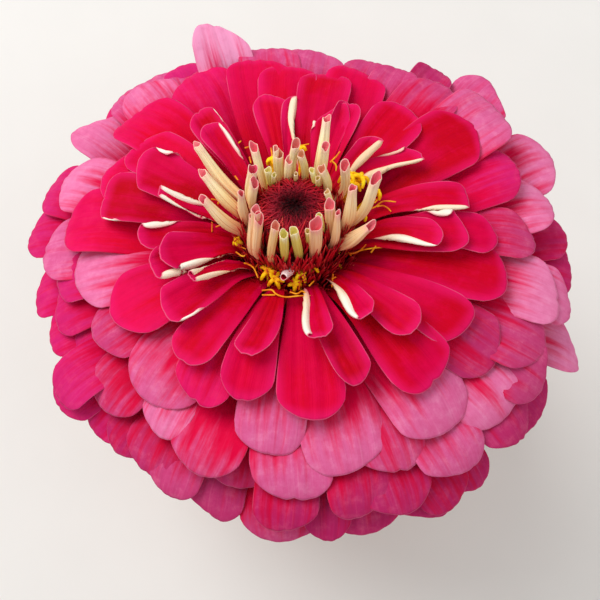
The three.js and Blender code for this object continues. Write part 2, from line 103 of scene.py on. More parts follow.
def toWorld(points):  # from the bloom's own frame to the part's, in metres
    x, y, z = points[..., 0], points[..., 1], points[..., 2]
    c, s = math.cos(lean), math.sin(lean)
    return (np.stack([x, y * c + z * s, z * c - y * s], axis=-1) + bloom["centre"]) * mm


def upright(points):  # in the part's own frame, from millimetres to metres
    return points * mm


# Meshes

def linked(name, data):
    made = bpy.data.objects.new(name, data)
    bpy.context.scene.collection.objects.link(made)
    return made


def closePoles(mesh):  # points that lie on one another become one
    graph = bmesh.new()
    graph.from_mesh(mesh)
    bmesh.ops.remove_doubles(graph, verts=graph.verts, dist=1e-7)
    graph.to_mesh(mesh)
    graph.free()
    mesh.update()


class Parts:  # quads, with values kept at each corner point, gathered into one mesh
    def __init__(self):
        self.points, self.quads, self.values, self.count = [], [], [], 0

    def add(self, points, quads, **values):
        self.points.append(points.reshape(-1, 3))
        self.quads.append(np.array(quads).reshape(-1, 4) + self.count)
        self.values.append({
            name: np.broadcast_to(value, points.shape[:-1]).reshape(-1) for name, value in values.items()
        })
        self.count += self.points[-1].shape[0]

    def object(self, name, material=None, world=toWorld, poles=False):
        points = world(np.concatenate(self.points))
        quads = np.concatenate(self.quads)
        mesh = bpy.data.meshes.new(name)
        mesh.vertices.add(len(points))
        mesh.vertices.foreach_set("co", points.astype(np.float32).ravel())
        mesh.loops.add(quads.size)
        mesh.loops.foreach_set("vertex_index", quads.ravel().astype(np.int32))
        mesh.polygons.add(len(quads))
        mesh.polygons.foreach_set("loop_start", np.arange(0, quads.size, 4, dtype=np.int32))
        mesh.polygons.foreach_set("use_smooth", np.ones(len(quads), bool))
        for label in sorted({name for values in self.values for name in values}):
            kept = [values.get(label, np.zeros(len(part))) for values, part in zip(self.values, self.points)]
            attribute = mesh.attributes.new(label, "FLOAT", "POINT")
            attribute.data.foreach_set("value", np.concatenate(kept).astype(np.float32))
        mesh.update(calc_edges=True)
        mesh.validate()
        if poles:
            closePoles(mesh)
        if material:
            mesh.materials.append(material)
        return linked(name, mesh)


def gridQuads(rows, columns, flip=False, closed=False):  # the faces between rows of points
    wide = columns if closed else columns - 1
    j, i = np.meshgrid(np.arange(rows - 1), np.arange(wide), indexing="ij")
    nextI = (i + 1) % columns
    a, b = j * columns + i, (j + 1) * columns + i
    c, d = (j + 1) * columns + nextI, j * columns + nextI
    quads = np.stack([a, b, c, d], axis=-1).reshape(-1, 4)
    return quads[:, ::-1] if flip else quads


def slabQuads(rows, columns):  # an upper and a lower grid, joined round their edge
    size = rows * columns
    upper = gridQuads(rows, columns)
    lower = gridQuads(rows, columns, flip=True) + size
    last, top = columns - 1, (rows - 1) * columns
    rim = []
    for j in range(rows - 1):
        a, b = j * columns, (j + 1) * columns
        rim.append((b, a, a + size, b + size))
        rim.append((a + last, b + last, b + last + size, a + last + size))
    for i in range(columns - 1):
        rim.append((i, i + 1, i + 1 + size, i + size))
        rim.append((top + i + 1, top + i, top + i + size, top + i + 1 + size))
    return np.concatenate([upper, lower, np.array(rim)])


def skin(parts, points, **values):  # rings of points, joined into a skin that faces outward
    rings, sides = points.shape[:2]
    parts.add(points, gridQuads(rings, sides, flip=True, closed=True), **values)


def turned(profile, sides):  # rings of points round the axis, for a profile of out and up
    angle = np.linspace(0, 2 * math.pi, sides, endpoint=False)
    flat = np.array(profile, float)
    up = np.broadcast_to(flat[:, 1:], (len(flat), sides))
    return np.stack([flat[:, :1] * np.cos(angle), flat[:, :1] * np.sin(angle), up], axis=-1)


def lathe(profile, sides, **values):
    parts = Parts()
    skin(parts, turned(profile, sides), **values)
    return parts


sheet = {  # how leaves, bracts and florets bend and where they are thin
    "pull": 0.38,  # of the ends on the middle line, as a share of its span
    "sectionSteps": 28, "sideRoll": 0.7,
    "foldBend": 0.3, "foldLeast": 0.03, "foldFull": 0.14, "notchWidth": 0.13,  # shares of the half width
    "foldPeak": 0.6, "foldSoft": 0.04,  # shares of the fold's length and of the sheet's
    "foldTurn": 205,  # degrees
    "notchFrom": 0.7,  # a share of the length
    "thinEdge": 0.35, "thinWithin": 0.9,  # a share of the thickness, and millimetres from the edge
}


def arch(root, rootSlope, tip, tipSlope):  # a middle line that leaves each end at its own slope
    root, tip = np.array(root, float), np.array(tip, float)
    pull = sheet["pull"] * np.linalg.norm(tip - root)
    startPull = root + pull * np.array([math.cos(rootSlope), math.sin(rootSlope)])
    endPull = tip - pull * np.array([math.cos(tipSlope), math.sin(tipSlope)])

    def line(s):
        s = np.asarray(s, float)[..., None]
        return (
            root * (1 - s) ** 3 + 3 * startPull * s * (1 - s) ** 2
            + 3 * endPull * s * s * (1 - s) + tip * s ** 3
        )
    return line


def sectionAt(u, roll, side, folds):  # a curled section from its middle out to u: across, up, slope there
    steps = sheet["sectionSteps"]

    def slope(t):
        angle = roll / 2 * (t + sheet["sideRoll"] * side * t * t)
        for edge, turn, share in folds:
            bend = np.minimum(sheet["foldBend"], share)
            angle = angle + edge * turn * smoothstep(edge * t, 1 - share - bend / 2, 1 - share + bend / 2)
        return angle
    across, up = np.zeros_like(u), np.zeros_like(u)
    for k in range(steps):
        angle = slope(u * (k + 0.5) / steps)
        across += np.cos(angle) * u / steps
        up += np.sin(angle) * u / steps
    return across, up, slope(u)


def foldOver(s, start, end, most):  # how much of an edge is turned over, swelling to its most and fading out
    peak, soft = start + sheet["foldPeak"] * (end - start), sheet["foldSoft"]
    rise = smoothstep(s, start - soft, peak) ** 0.8
    fall = 1 - 0.25 * smoothstep(s, peak, end)
    return most * rise * fall * (1 - smoothstep(s, end - soft, end + soft))


def blade(parts, line, azimuth, halfWidth, roll, shape, place=None, **values):
    # A leaf or floret: a sheet rolled about a middle line. shape gives its grid, its outline and its relief.
    out = np.array([math.cos(azimuth), math.sin(azimuth), 0])
    sideways = np.array([-math.sin(azimuth), math.cos(azimuth), 0])
    u, v = np.meshgrid(shape["across"], shape["up"])
    power = shape["tipPower"]
    uneven = np.abs(u - shape.get("skew", 0) * (1 - u * u))
    cap = 1 - (1 - np.minimum(uneven, 1) ** power) ** (1 / power)
    s = v - shape["tipRound"] * np.sign(v) * cap * np.abs(v) ** 3
    notched = np.exp(-((u / sheet["notchWidth"]) ** 2))
    s = s - shape.get("notch", 0) * notched * smoothstep(v, sheet["notchFrom"], 1)

    def at(position):
        flat = line(position)
        return flat[..., :1] * out + flat[..., 1:] * np.array([0, 0, 1])

    step = 1e-3
    ahead = unit(at(s + step) - at(s - step))
    above = np.cross(ahead, sideways)
    angle = (shape.get("twist", 0) * s)[..., None]
    across = sideways * np.cos(angle) + above * np.sin(angle)
    normal = above * np.cos(angle) - sideways * np.sin(angle)
    folds, wider, least = [], 1, sheet["foldLeast"]
    for edge, start, end, most, rolled in shape.get("folds", ()):
        over = foldOver(s, start, end, most)
        share = least + (over if rolled else over / (1 + over))
        wider = wider + (0 if rolled else over) * smoothstep(edge * u, 0, 0.5)
        turn = math.radians(sheet["foldTurn"]) * smoothstep(share, least, sheet["foldFull"])
        folds.append((edge, turn, share))
    half = halfWidth(s) * wider
    alongSection, upSection, slope = sectionAt(u, roll(s), shape.get("side", 0), folds)
    bow = shape.get("bow", 0) * 4 * np.clip(s, 0, 1) * (1 - np.clip(s, 0, 1))
    middle = at(s) + across * (half * alongSection + bow)[..., None] + normal * (half * upSection)[..., None]
    facing = normal * np.cos(slope)[..., None] - across * np.sin(slope)[..., None]
    middle = middle + facing * shape["relief"](u, s)[..., None]
    edge = np.minimum(half * (1 - np.abs(u)), shape["length"] * (1 - v) * 0.9)  # how far it is, about
    thin = sheet["thinEdge"]
    thick = (shape["thickness"] * (thin + (1 - thin) * smoothstep(edge, 0, sheet["thinWithin"])))[..., None]
    points = np.stack([middle + facing * thick / 2, middle - facing * thick / 2])
    if place:
        points = place(points)
    under = np.stack([np.zeros_like(u), np.ones_like(u)])
    parts.add(points, slabQuads(*u.shape), under=under, across=u, along=s, edge=edge, **values)


def spaced(count, crowding):  # from -1 to 1, closer together towards both ends
    t = np.linspace(-1, 1, count)
    return np.sign(t) * (1 - (1 - np.abs(t)) ** crowding)


# Node trees and materials

def linear(red, green, blue):  # a colour written as it looks on screen, 0 to 255
    def channel(value):
        value = value / 255
        return value / 12.92 if value <= 0.04045 else ((value + 0.055) / 1.055) ** 2.4
    return (channel(red), channel(green), channel(blue), 1)


class Wired:  # a value inside a node tree, so that a sum is written as a sum
    def __init__(self, nodes, socket):
        self.nodes, self.socket = nodes, socket

    def apply(self, operation, *values):
        return self.nodes.put("ShaderNodeMath", dict(enumerate((self, *values))), operation=operation)

    def __add__(self, other):
        return self.apply("ADD", other)

    def __sub__(self, other):
        return self.apply("SUBTRACT", other)

    def __rsub__(self, other):
        return self.nodes.put("ShaderNodeMath", {0: other, 1: self}, operation="SUBTRACT")

    def __mul__(self, other):
        return self.apply("MULTIPLY", other)

    def __truediv__(self, other):
        return self.apply("DIVIDE", other)

    def __pow__(self, other):
        return self.apply("POWER", other)

    def between(self, low, high):  # a share from 0 to 1 as a value from low to high
        return self.nodes.put("ShaderNodeMapRange", {"Value": self, "To Min": low, "To Max": high})

    def spread(self, low, high, toLow=0.0, toHigh=1.0):  # the same, smooth, for a value from low to high
        inputs = {"Value": self, "From Min": low, "From Max": high, "To Min": toLow, "To Max": toHigh}
        return self.nodes.put("ShaderNodeMapRange", inputs, interpolation_type="SMOOTHSTEP")

    def ramp(self, *stops):  # each stop: its place, then red, green and blue
        made = self.nodes.add("ShaderNodeValToRGB", {"Fac": self})
        elements = made.color_ramp.elements
        while len(elements) < len(stops):
            elements.new(0.5)
        for element, (place, *colour) in zip(elements, stops):
            element.position = place
            element.color = linear(*colour)
        return Wired(self.nodes, made.outputs["Color"])


class Nodes:  # a node tree under construction
    def __init__(self, tree):
        self.tree = tree

    def wire(self, made, inputs):
        for key, value in inputs.items():
            if isinstance(value, Wired):
                self.tree.links.new(value.socket, made.inputs[key])
            else:
                made.inputs[key].default_value = value
        return made

    def add(self, kind, inputs=None, **settings):
        made = self.tree.nodes.new(kind)
        for name, value in settings.items():
            setattr(made, name, value)
        return self.wire(made, inputs or {})

    def put(self, kind, inputs=None, output=0, **settings):  # a new node's output
        return Wired(self, self.add(kind, inputs, **settings).outputs[output])

    def vector(self, x, y, z=0.0):
        return self.put("ShaderNodeCombineXYZ", {0: x, 1: y, 2: z})

    def split(self, vector):
        return [Wired(self, socket) for socket in self.add("ShaderNodeSeparateXYZ", {0: vector}).outputs]


class Surface(Nodes):  # a material under construction, with short words for the nodes used here
    def __init__(self, name):
        self.material = bpy.data.materials.new(name)
        self.material.use_nodes = True
        super().__init__(self.material.node_tree)

    def attribute(self, name):
        return self.put("ShaderNodeAttribute", output="Fac", attribute_name=name)

    def attributes(self, *names):
        return [self.attribute(name) for name in names]

    def mix(self, factor, a, b):
        first, second = (value if isinstance(value, Wired) else linear(*value) for value in (a, b))
        return self.put("ShaderNodeMix", {0: factor, 6: first, 7: second}, output=2, data_type="RGBA")

    def place(self):
        return self.put("ShaderNodeTexCoord", output="Object")

    def noise(self, where, scale, detail=3.0, roughness=0.5):
        inputs = {"Vector": where, "Scale": scale, "Detail": detail, "Roughness": roughness}
        return self.put("ShaderNodeTexNoise", inputs)

    def cylinder(self, around, wide, up):  # a place on a cylinder that closes on itself
        angle = around * (2 * math.pi)
        return self.vector(angle.apply("COSINE") * wide, angle.apply("SINE") * wide, up)

    def bump(self, height, distance, strength):
        return self.put("ShaderNodeBump", {"Height": height, "Distance": distance, "Strength": strength})

    def finish(self, colour, roughness, normal=None, gloss=0.5):
        inputs = {"Base Color": colour, "Roughness": roughness, "Specular IOR Level": gloss}
        if normal:
            inputs["Normal"] = normal
        self.wire(self.tree.nodes["Principled BSDF"], inputs)
        return self.material


# Camera, light and floor

camera = {
    "elevation": 80, "distance": 250, "focal": 1255, "frame": 600,  # focal length and frame in pixels
    "aim": (5, -25),  # the bloom's centre is this far left of and above the frame's middle, in pixels
    "sensor": 36, "clip": 0.01,
}


def makeCamera():
    up = math.radians(camera["elevation"])
    towards = np.array([0, -math.cos(up), math.sin(up)])
    upward = np.array([0, math.sin(up), math.cos(up)])
    perPixel = camera["distance"] / camera["focal"]
    aim = np.array(bloom["centre"]) + np.array([1, 0, 0]) * camera["aim"][0] * perPixel
    aim = aim + upward * camera["aim"][1] * perPixel
    data = bpy.data.cameras.new("camera")
    data.sensor_width = camera["sensor"]
    data.lens = camera["focal"] / camera["frame"] * camera["sensor"]
    data.clip_start = camera["clip"]
    made = linked("camera", data)
    made.location = Vector((aim + towards * camera["distance"]) * mm)
    made.rotation_euler = Vector(towards).to_track_quat("Z", "Y").to_euler()
    bpy.context.scene.camera = made


def seen(x, y, up):  # the spot at a height over the bloom's centre that shows at x, y in the picture
    off = math.radians(90 - camera["elevation"] + bloom["lean"])
    aimX, aimY = (side * camera["distance"] / camera["focal"] for side in camera["aim"])
    middle, far = camera["frame"] / 2, 0
    for _ in range(6):
        scale = camera["focal"] / (camera["distance"] + math.sin(off) * far - math.cos(off) * up)
        far = ((middle - y) / scale - math.sin(off) * up + aimY) / math.cos(off)
    return np.array([(x - middle) / scale + aimX, far, up])


studio = {
    "sky": 0.64, "floor": [(232, 230, 226), (236, 234, 230)], "floorReach": 3, "aim": (0, 0, 0.18),
    "lamps": [  # name, place, size and power
        ("key", (-0.45, 0.4, 0.9), 0.7, 6.5),
        ("fill", (0.6, -0.2, 0.8), 0.6, 0.6),
    ],
}


def makeStudio():
    scene = bpy.context.scene
    world = bpy.data.worlds.new("studio")
    scene.world = world
    world.use_nodes = True
    background = world.node_tree.nodes["Background"]
    background.inputs["Color"].default_value = (1, 1, 1, 1)
    background.inputs["Strength"].default_value = studio["sky"]
    for name, place, size, power in studio["lamps"]:
        lamp = bpy.data.lights.new(name, "AREA")
        lamp.shape = "DISK"
        lamp.size = size
        lamp.energy = power
        made = linked(name, lamp)
        made.location = place
        made.rotation_euler = (Vector(place) - Vector(studio["aim"])).to_track_quat("Z", "Y").to_euler()
    mesh = bpy.data.meshes.new("floor")
    reach = studio["floorReach"]
    corners = [(-reach, -reach, 0), (reach, -reach, 0), (reach, reach, 0), (-reach, reach, 0)]
    mesh.from_pydata(corners, [], [(0, 1, 2, 3)])
    surface = Surface("paleFloor")
    shade = surface.noise(surface.place(), 40, 2)
    mesh.materials.append(surface.finish(surface.mix(shade, *studio["floor"]), 0.8))
    linked("floor", mesh)
    scene.view_settings.view_transform = "Standard"


makeCamera()
makeStudio()
print("camera, light and floor are set")


# Growing with node trees

class Growth(Nodes):  # a geometry tree under construction
    def __init__(self, name, **inputs):  # the names of its inputs, by kind
        super().__init__(bpy.data.node_groups.new(name, "GeometryNodeTree"))
        add = self.tree.interface.new_socket
        add("Geometry", in_out="INPUT", socket_type="NodeSocketGeometry")
        for kind, labels in inputs.items():
            for label in labels:
                add(label, in_out="INPUT", socket_type="NodeSocket" + kind)
        add("Geometry", in_out="OUTPUT", socket_type="NodeSocketGeometry")
        self.given = self.add("NodeGroupInput")

    def ask(self, name):  # one of the inputs
        return Wired(self, self.given.outputs[name])

    def remember(self, geometry, name, value, domain="POINT"):
        inputs = {"Geometry": geometry, "Name": name, "Value": value}
        return self.put("GeometryNodeStoreNamedAttribute", inputs, data_type="FLOAT", domain=domain)

    def chance(self, low, high, step=0):  # an even random number for each item
        made = self.add("FunctionNodeRandomValue", {"Seed": self.ask("Seed") + step}, data_type="FLOAT")
        least, most = [socket for socket in made.inputs if socket.type == "VALUE"][:2]
        least.default_value, most.default_value = low, high
        return Wired(self, [socket for socket in made.outputs if socket.type == "VALUE"][0])

    def position(self):
        return self.split(self.put("GeometryNodeInputPosition"))

    def scattered(self, selection=True):  # points on the faces, and their normals
        asked = {name: self.ask(name) for name in ("Density", "Seed")}
        inputs = {"Mesh": self.ask("Geometry"), "Selection": selection, **asked}
        made = self.add("GeometryNodeDistributePointsOnFaces", inputs, distribute_method="RANDOM")
        return [Wired(self, made.outputs[name]) for name in ("Points", "Normal")]

    def turn(self, x, y, z):
        return self.put("FunctionNodeEulerToRotation", {0: self.vector(x, y, z)})

    def copies(self, points, piece, turn, size):
        inputs = {"Points": points, "Instance": piece, "Rotation": turn, "Scale": size}
        return self.put("GeometryNodeInstanceOnPoints", inputs)

    def end(self, geometry, material):
        realized = self.put("GeometryNodeRealizeInstances", {0: geometry})
        painted = self.put("GeometryNodeSetMaterial", {"Geometry": realized, "Material": material})
        self.add("NodeGroupOutput", {0: painted})
        return self.tree


def grown(name, tree, values, base=None, world=toWorld):
    # The plain mesh that a tree grows, in the part's frame. The tree and its base are in millimetres.
    mesh = base.data if base else bpy.data.meshes.new(name)
    if base:
        bpy.data.objects.remove(base)
    made = linked(name, mesh)
    modifier = made.modifiers.new("grow", "NODES")
    modifier.node_group = tree
    for item in tree.interface.items_tree:
        if item.item_type == "SOCKET" and item.in_out == "INPUT" and item.name in values:
            modifier[item.identifier] = values[item.name]
    graph = bpy.context.evaluated_depsgraph_get()
    result = bpy.data.meshes.new_from_object(
        made.evaluated_get(graph), preserve_all_data_layers=True, depsgraph=graph,
    )
    made.modifiers.remove(modifier)
    points = np.zeros(len(result.vertices) * 3)
    result.vertices.foreach_get("co", points)
    result.vertices.foreach_set("co", world(points.reshape(-1, 3)).astype(np.float32).ravel())
    result.polygons.foreach_set("use_smooth", np.ones(len(result.polygons), bool))
    result.update()
    made.data = result
    return made


def copyOf(made, name):  # the same mesh, in millimetres, for a tree to grow on
    mesh = made.data.copy()
    mesh.materials.clear()
    points = np.zeros(len(mesh.vertices) * 3)
    mesh.vertices.foreach_get("co", points)
    mesh.vertices.foreach_set("co", (points / mm).astype(np.float32))
    return linked(name, mesh)


def settle(made, slot, *nodes):  # on the one body, and the solids that it stands for are hidden
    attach(made, "root")
    if nodes:
        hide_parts(*nodes)


# Ray florets
# Each ring: its number, tip out, tip up, tip slope, root out, root up, root slope,
# and where the claw under the root starts on the receptacle, out and up.
rings = [
    (22, 22, 22.3, 46, 10.4, 12.9, 54, 8.8, 11),
    (26, 26, 20.5, 34, 10.4, 12.7, 47, 8.8, 10.8),
    (30, 30, 18.4, 16, 10.4, 12.4, 41, 8.8, 10.4),
    (34, 34, 15.8, -4, 10.5, 12, 35, 9, 9.8),
    (38, 38, 12.5, -18, 11, 11.6, 28, 9.2, 9),
    (43, 43, 8.2, -34, 16, 9.8, 20, 11.4, 6),
    (47.5, 47.5, 4.4, -44, 23, 6.6, 12, 12.4, 3),
    (51.5, 51.5, 1, -50, 28, 3.8, 7, 13, -0.6),
    (54.5, 54.5, -2.6, -54, 31, 1, 2, 13.4, -3.6),
    (60, 53, -9, -62, 30, -2.6, -5, 13.6, -6.8),
]
# The bloom isn't quite round. Each row: azimuth, how far the outer rings reach, how far they are raised.
lopsided = [
    (0, 1.045, 2), (12, 1.045, 4), (26, 1.08, 7), (37, 1.1, 9), (44, 1.06, 10), (57, 1.02, 9.5),
    (72, 0.96, 8.6), (90, 0.995, 8), (104, 1.04, 7.6), (116, 0.99, 7), (132, 1.05, 4.6), (158, 1.035, 1.6),
    (170, 1.035, 0.6), (183, 0.965, 0), (194, 0.92, 0), (204, 0.88, 0), (211, 0.985, 0), (221, 0.91, 0),
    (241, 0.92, 0), (247, 0.975, 0), (251, 0.965, 0), (256, 0.91, 0), (261, 0.935, 0), (269, 1, 0),
    (285, 0.995, 0), (298, 1.03, 0), (310, 1.02, 0), (320, 1.02, 0), (330, 1.03, 0), (339, 1.11, 0),
    (348, 1.09, 0), (356, 1.03, 2), (360, 1.045, 2),
]
# Every ray floret: azimuth of its tip, ring, width laid flat, roll of its edges upwards, tone from 0 deep
# crimson to 1 pale pink, and for some, how far the tip stands above its ring. Tones about 0.4 give the
# drooping outermost florets a darker magenta that is painted shade as well as their own deeper colour.
rayFlorets = [
    (216.5, 23, 5, 80, 0.1), (280.5, 25.6, 5.8, 50, 0.1), (302, 24.6, 5.6, 50, 0.1), (47, 24.2, 7, 70, 0.1),
    (197.3, 25.7, 8.5, 70, 0.12), (166, 26.4, 5, 80, 0.1), (353, 27.6, 6.6, 45, 0.12),
    (253, 29, 6.5, 40, 0.08), (201, 28, 7.5, 60, 0.04), (127.5, 28.7, 5.2, 60, 0.12),
    (219, 30.2, 9, 60, 0.03), (315, 30.8, 8, 35, 0.12), (32, 29.2, 7, 60, 0.12),
    (186.6, 29.2, 6.4, 55, 0.06), (74, 30.6, 7.4, 60, 0.12), (89.5, 30.9, 5.2, 80, 0.1),
    (290, 34, 7.2, 45, 0.03), (69.7, 31.5, 6.5, 120, 0.12), (99.8, 32.4, 7, 45, 0.14),
    (358, 32.6, 9.5, 60, 0.1), (234, 34.2, 9.6, 35, 0.1), (12.5, 33.8, 7.4, 50, 0.12),
    (124.5, 34.3, 6.8, 60, 0.06), (152.8, 34.8, 11, 50, 0.02), (327.8, 36.8, 10.5, 30, 0.1),
    (255, 36.3, 9.8, 20, 0.2), (52, 36.5, 11.5, 30, 0.12), (310.4, 38.8, 13, 22, 0.12),
    (205.5, 39.3, 14.5, 5, 0.28), (274.8, 37.7, 12.6, 14, 0.2), (165, 38.2, 12, 45, 0), (0, 38, 9, 20, 0.2),
    (242, 39.2, 11.5, -10, 0.34), (349.2, 39.4, 14, 18, 0.1), (156.3, 40.6, 14, 12, 0.26),
    (146, 38, 12, 12, 0.2), (80, 40, 11, 25, 0.1), (35, 41.5, 14.5, 15, 0.05), (92, 42, 12, 10, 0.16),
    (187, 44.4, 16, -20, 0.74), (137, 44.5, 15, 10, 0.3), (328, 43.2, 14, -20, 0.45),
    (229, 44.2, 16.5, -25, 0.64), (263.6, 43.6, 13, -25, 0.64), (207, 44.6, 13, -20, 0.5),
    (101, 44, 13, 5, 0.26), (306.6, 45.2, 16.5, -25, 0.66), (3, 45, 11, -10, 0.5), (22, 45, 13, -15, 0.36),
    (72, 44.4, 13, 5, 0.24), (117.5, 47.5, 14.5, -10, 0.34), (171.5, 44.5, 15, 0, 0.32),
    (283, 46, 16, -28, 0.66, 0.3), (50, 46, 13, 12, 0.5), (247.5, 48.5, 15, -25, 0.58),
    (349.6, 48, 14.5, -15, 0.78, 1.4), (338, 46.6, 15, -22, 0.5, -1), (235.5, 48.4, 10, -20, 0.74, 0.9),
    (37, 47, 15, 20, 0.66), (62, 47, 10, 40, 0.5), (293.6, 47, 13, -25, 0.58, -0.9),
    (184, 48.6, 13, -25, 0.38), (320, 49.6, 15, -28, 0.72), (129, 50, 13, 0, 0.72, 2.5),
    (220, 51, 13.5, -25, 0.5), (270, 48.8, 15, -28, 0.62), (332, 51, 15, -25, 0.5), (14, 50, 14, -20, 0.76),
    (97, 49, 13, 5, 0.56), (158, 49.4, 14.5, -20, 0.76), (176, 50, 15, -20, 0.64),
    (85, 49.6, 14, -10, 0.56), (351, 51, 13, -20, 0.72), (236.5, 54, 13, -28, 0.46),
    (192, 51.4, 13, -25, 0.38), (55.5, 52, 9, 50, 0.44), (256, 51.2, 15.5, -30, 0.46, -0.8),
    (306, 51.5, 14.5, -30, 0.62), (204, 52, 13, -28, 0.385), (122, 53, 14, -15, 0.6, 2),
    (284, 52.3, 13, -30, 0.43), (211, 53, 11, -30, 0.38), (26, 54.5, 15.5, -15, 0.74),
    (108.4, 53.6, 12, 16, 0.9, 10.2), (131, 53, 12, -10, 0.6, 1), (291.5, 53.2, 14, -32, 0.43),
    (268, 53.4, 12, -30, 0.42), (219.4, 56.4, 14, -30, 0.385), (320, 54, 13, -30, 0.44),
    (44, 54.4, 14, -10, 0.6, 3), (243, 54.3, 11, -30, 0.5, -0.6), (142, 54.5, 14, -10, 0.72, 3),
    (116, 55, 14, -10, 0.37, 3), (70, 51, 12, 0, 0.5), (229, 55.3, 13, -30, 0.42),
    (157, 55.5, 14, -20, 0.38), (88, 55.5, 13, -10, 0.56), (12, 57, 15, -20, 0.4), (168, 56, 14, -20, 0.38),
    (183, 56, 13, -25, 0.37), (3, 57.4, 13, -25, 0.4), (345.6, 59, 12.5, -15, 0.78),
    (195, 54.4, 12, -28, 0.37), (57, 57, 13, -10, 0.5), (276.5, 57, 9, -30, 0.42),
    (302.4, 57, 12, -30, 0.42), (252, 57.3, 12.5, -30, 0.46), (309, 58.5, 11, -30, 0.42),
    (268, 58.5, 17, -32, 0.52), (329, 59, 15.5, -32, 0.42), (241, 57.6, 13, -30, 0.42),
    (210.5, 56.6, 12, -30, 0.38), (285, 58.2, 15, -32, 0.43), (298.5, 58.4, 13.5, -32, 0.42),
    (132, 57, 14, -15, 0.37, 4),
]
# The other dictionaries and lists here name a floret by the azimuth of its tip.
oneSided = {219: 0.3, 69.7: 0.4, 358: 0.5}  # how much more the edge towards growing azimuth rolls
# Edges that are turned over, so that the pale underside shows: the floret, the edge (1 is the one towards
# growing azimuth), where the turn starts and ends along it, and its share of the half width.
turnedEdges = [
    (280.5, -1, 0.05, 1.06, 0.78), (302, -1, 0, 1.04, 0.82), (353, -1, 0.3, 0.98, 0.6),
    (12.5, -1, 0.55, 1, 0.46), (127.5, -1, 0.4, 1, 0.22), (124.5, -1, 0.74, 1.04, 0.12),
    (152.8, -1, 0.7, 0.98, 0.12), (186.6, -1, 0.62, 1, 0.24), (197.3, 1, 0.15, 0.85, 0.22),
    (201, 1, 0.7, 1.08, 0.5), (219, 1, 0.7, 1.08, 0.16), (74, 1, 0.62, 1.02, 0.22),
    (117.5, -1, 0.84, 1.08, 0.14), (358, 1, 0.62, 1, 0.14), (165, 1, 0.78, 1.04, 0.12),
    (32, 1, 0.6, 0.95, 0.12),
]
rolledEdges = [  # the same for edges that are rolled in over the floret
    (166, -1, 0.3, 1.3, 0.5), (166, 1, 0.35, 1.3, 0.44), (216.5, -1, 0.3, 1.3, 0.44),
    (216.5, 1, 0.25, 1.3, 0.54), (89.5, -1, 0.2, 1.3, 0.95), (47, -1, -0.1, 1.2, 0.82),
    (32, -1, 0.3, 1.08, 0.8),
]
# Tips with a corner: how far it lies towards growing azimuth, how round it is, and how deep the slopes
# beside it are.
pointed = {
    152.8: (-0.4, 2, 1), 74: (-0.6, 1.8, 1.6), 108.4: (0.46, 2.6, 1.7), 142: (0.55, 1.6, 1.2),
    57: (-0.6, 1.5, 1.3), 44: (0.4, 1.7, 1), 252: (0.5, 1.8, 1), 345.6: (-0.5, 1.7, 1.2),
}
# How much further the crimson runs out from the base, as a share of the length. The others vary a little.
blushed = {
    247.5: 0.26, 256: 0.2, 268: 0.15, 242: 0.16, 284: 0.14, 293.6: 0.16, 263.6: 0.04, 283: 0,
    306.6: -0.04, 310.4: 0.05, 235.5: 0.12, 229: 0.12, 220: 0.2, 219.4: 0.16, 207: 0.2, 192: 0.1, 183: 0.1,
    328: 0.12, 338: 0.06, 3: 0.1, 14: 0.08, 351: 0.06, 187: -0.02, 291.5: 0.14, 306: 0.04, 349.6: 0,
    0: 0.08, 26: 0.05, 345.6: 0, 37: 0.04, 101: 0.12, 122: 0.1, 158: 0, 171.5: 0.05, 302.4: 0.16,
    320: 0, 108.4: 0,
}
creamy = {47: 1, 32: 0.8, 89.5: 0.7, 216.5: 0.6, 12.5: 0.6, 201: 0.4}  # the undersides that aren't white
# Florets that sway, so that the root lies this many degrees on from the tip.
swayed = {32: 22, 47: 8, 280.5: 6, 302: 8, 186.6: -10, 197.3: -6, 201: -6, 127.5: 4, 353: 8, 12.5: 8, 74: -6}
rayOutline = [  # share of the length and of the half width; the inner ones are narrow below
    (-0.4, 0.2), (-0.2, 0.28), (0, 0.38), (0.15, 0.47), (0.3, 0.6), (0.45, 0.74), (0.6, 0.87), (0.75, 0.97),
    (0.87, 1), (1, 0.88),
]
broadOutline = [
    (-0.4, 0.3), (-0.2, 0.5), (0, 0.66), (0.2, 0.8), (0.45, 0.93), (0.6, 0.98), (0.75, 1), (0.87, 0.99),
    (1, 0.88),
]
ray = {
    "columns": 25, "rows": 26, "clawRows": 5, "clawShare": 0.4, "thickness": 0.36, "tipRound": 0.9,
    "grooveAt": 0.36, "groove": 0.22, "ripple": 0.36, "twist": 0.1, "bow": 0.9, "notch": 0.02, "skew": 0.32,
    "broadFrom": 38, "broadTo": 44,  # the rings between which the outline turns broad
    "looseFrom": 30, "looseTo": 50,  # and between which the bloom stops being round
    "groups": [("raysInner", 0, 36.5), ("raysMiddle", 36.5, 49.2), ("raysOuter", 49.2, 70)],  # name and rings
}


def rayRelief(seed):
    grooveAt = ray["grooveAt"] + 0.06 * math.sin(seed * 9.1)
    phase = seed * 40

    def relief(u, s):
        held = smoothstep(s, -0.1, 0.35)
        grooves = np.exp(-(((np.abs(u) - grooveAt) / 0.11) ** 2)) + 0.55 * np.exp(-((u / 0.09) ** 2))
        ripples = np.sin(7.3 * s + phase) * u ** 3 + 0.6 * np.sin(4.1 * s + phase * 1.7) * u * u
        swells = 0.5 * np.sin(5.2 * s + 2.3 * u + phase * 0.6)
        waves = ripples + 0.6 * swells * smoothstep(s, 0, 0.5)
        return held * (-ray["groove"] * grooves + ray["ripple"] * waves)
    return relief


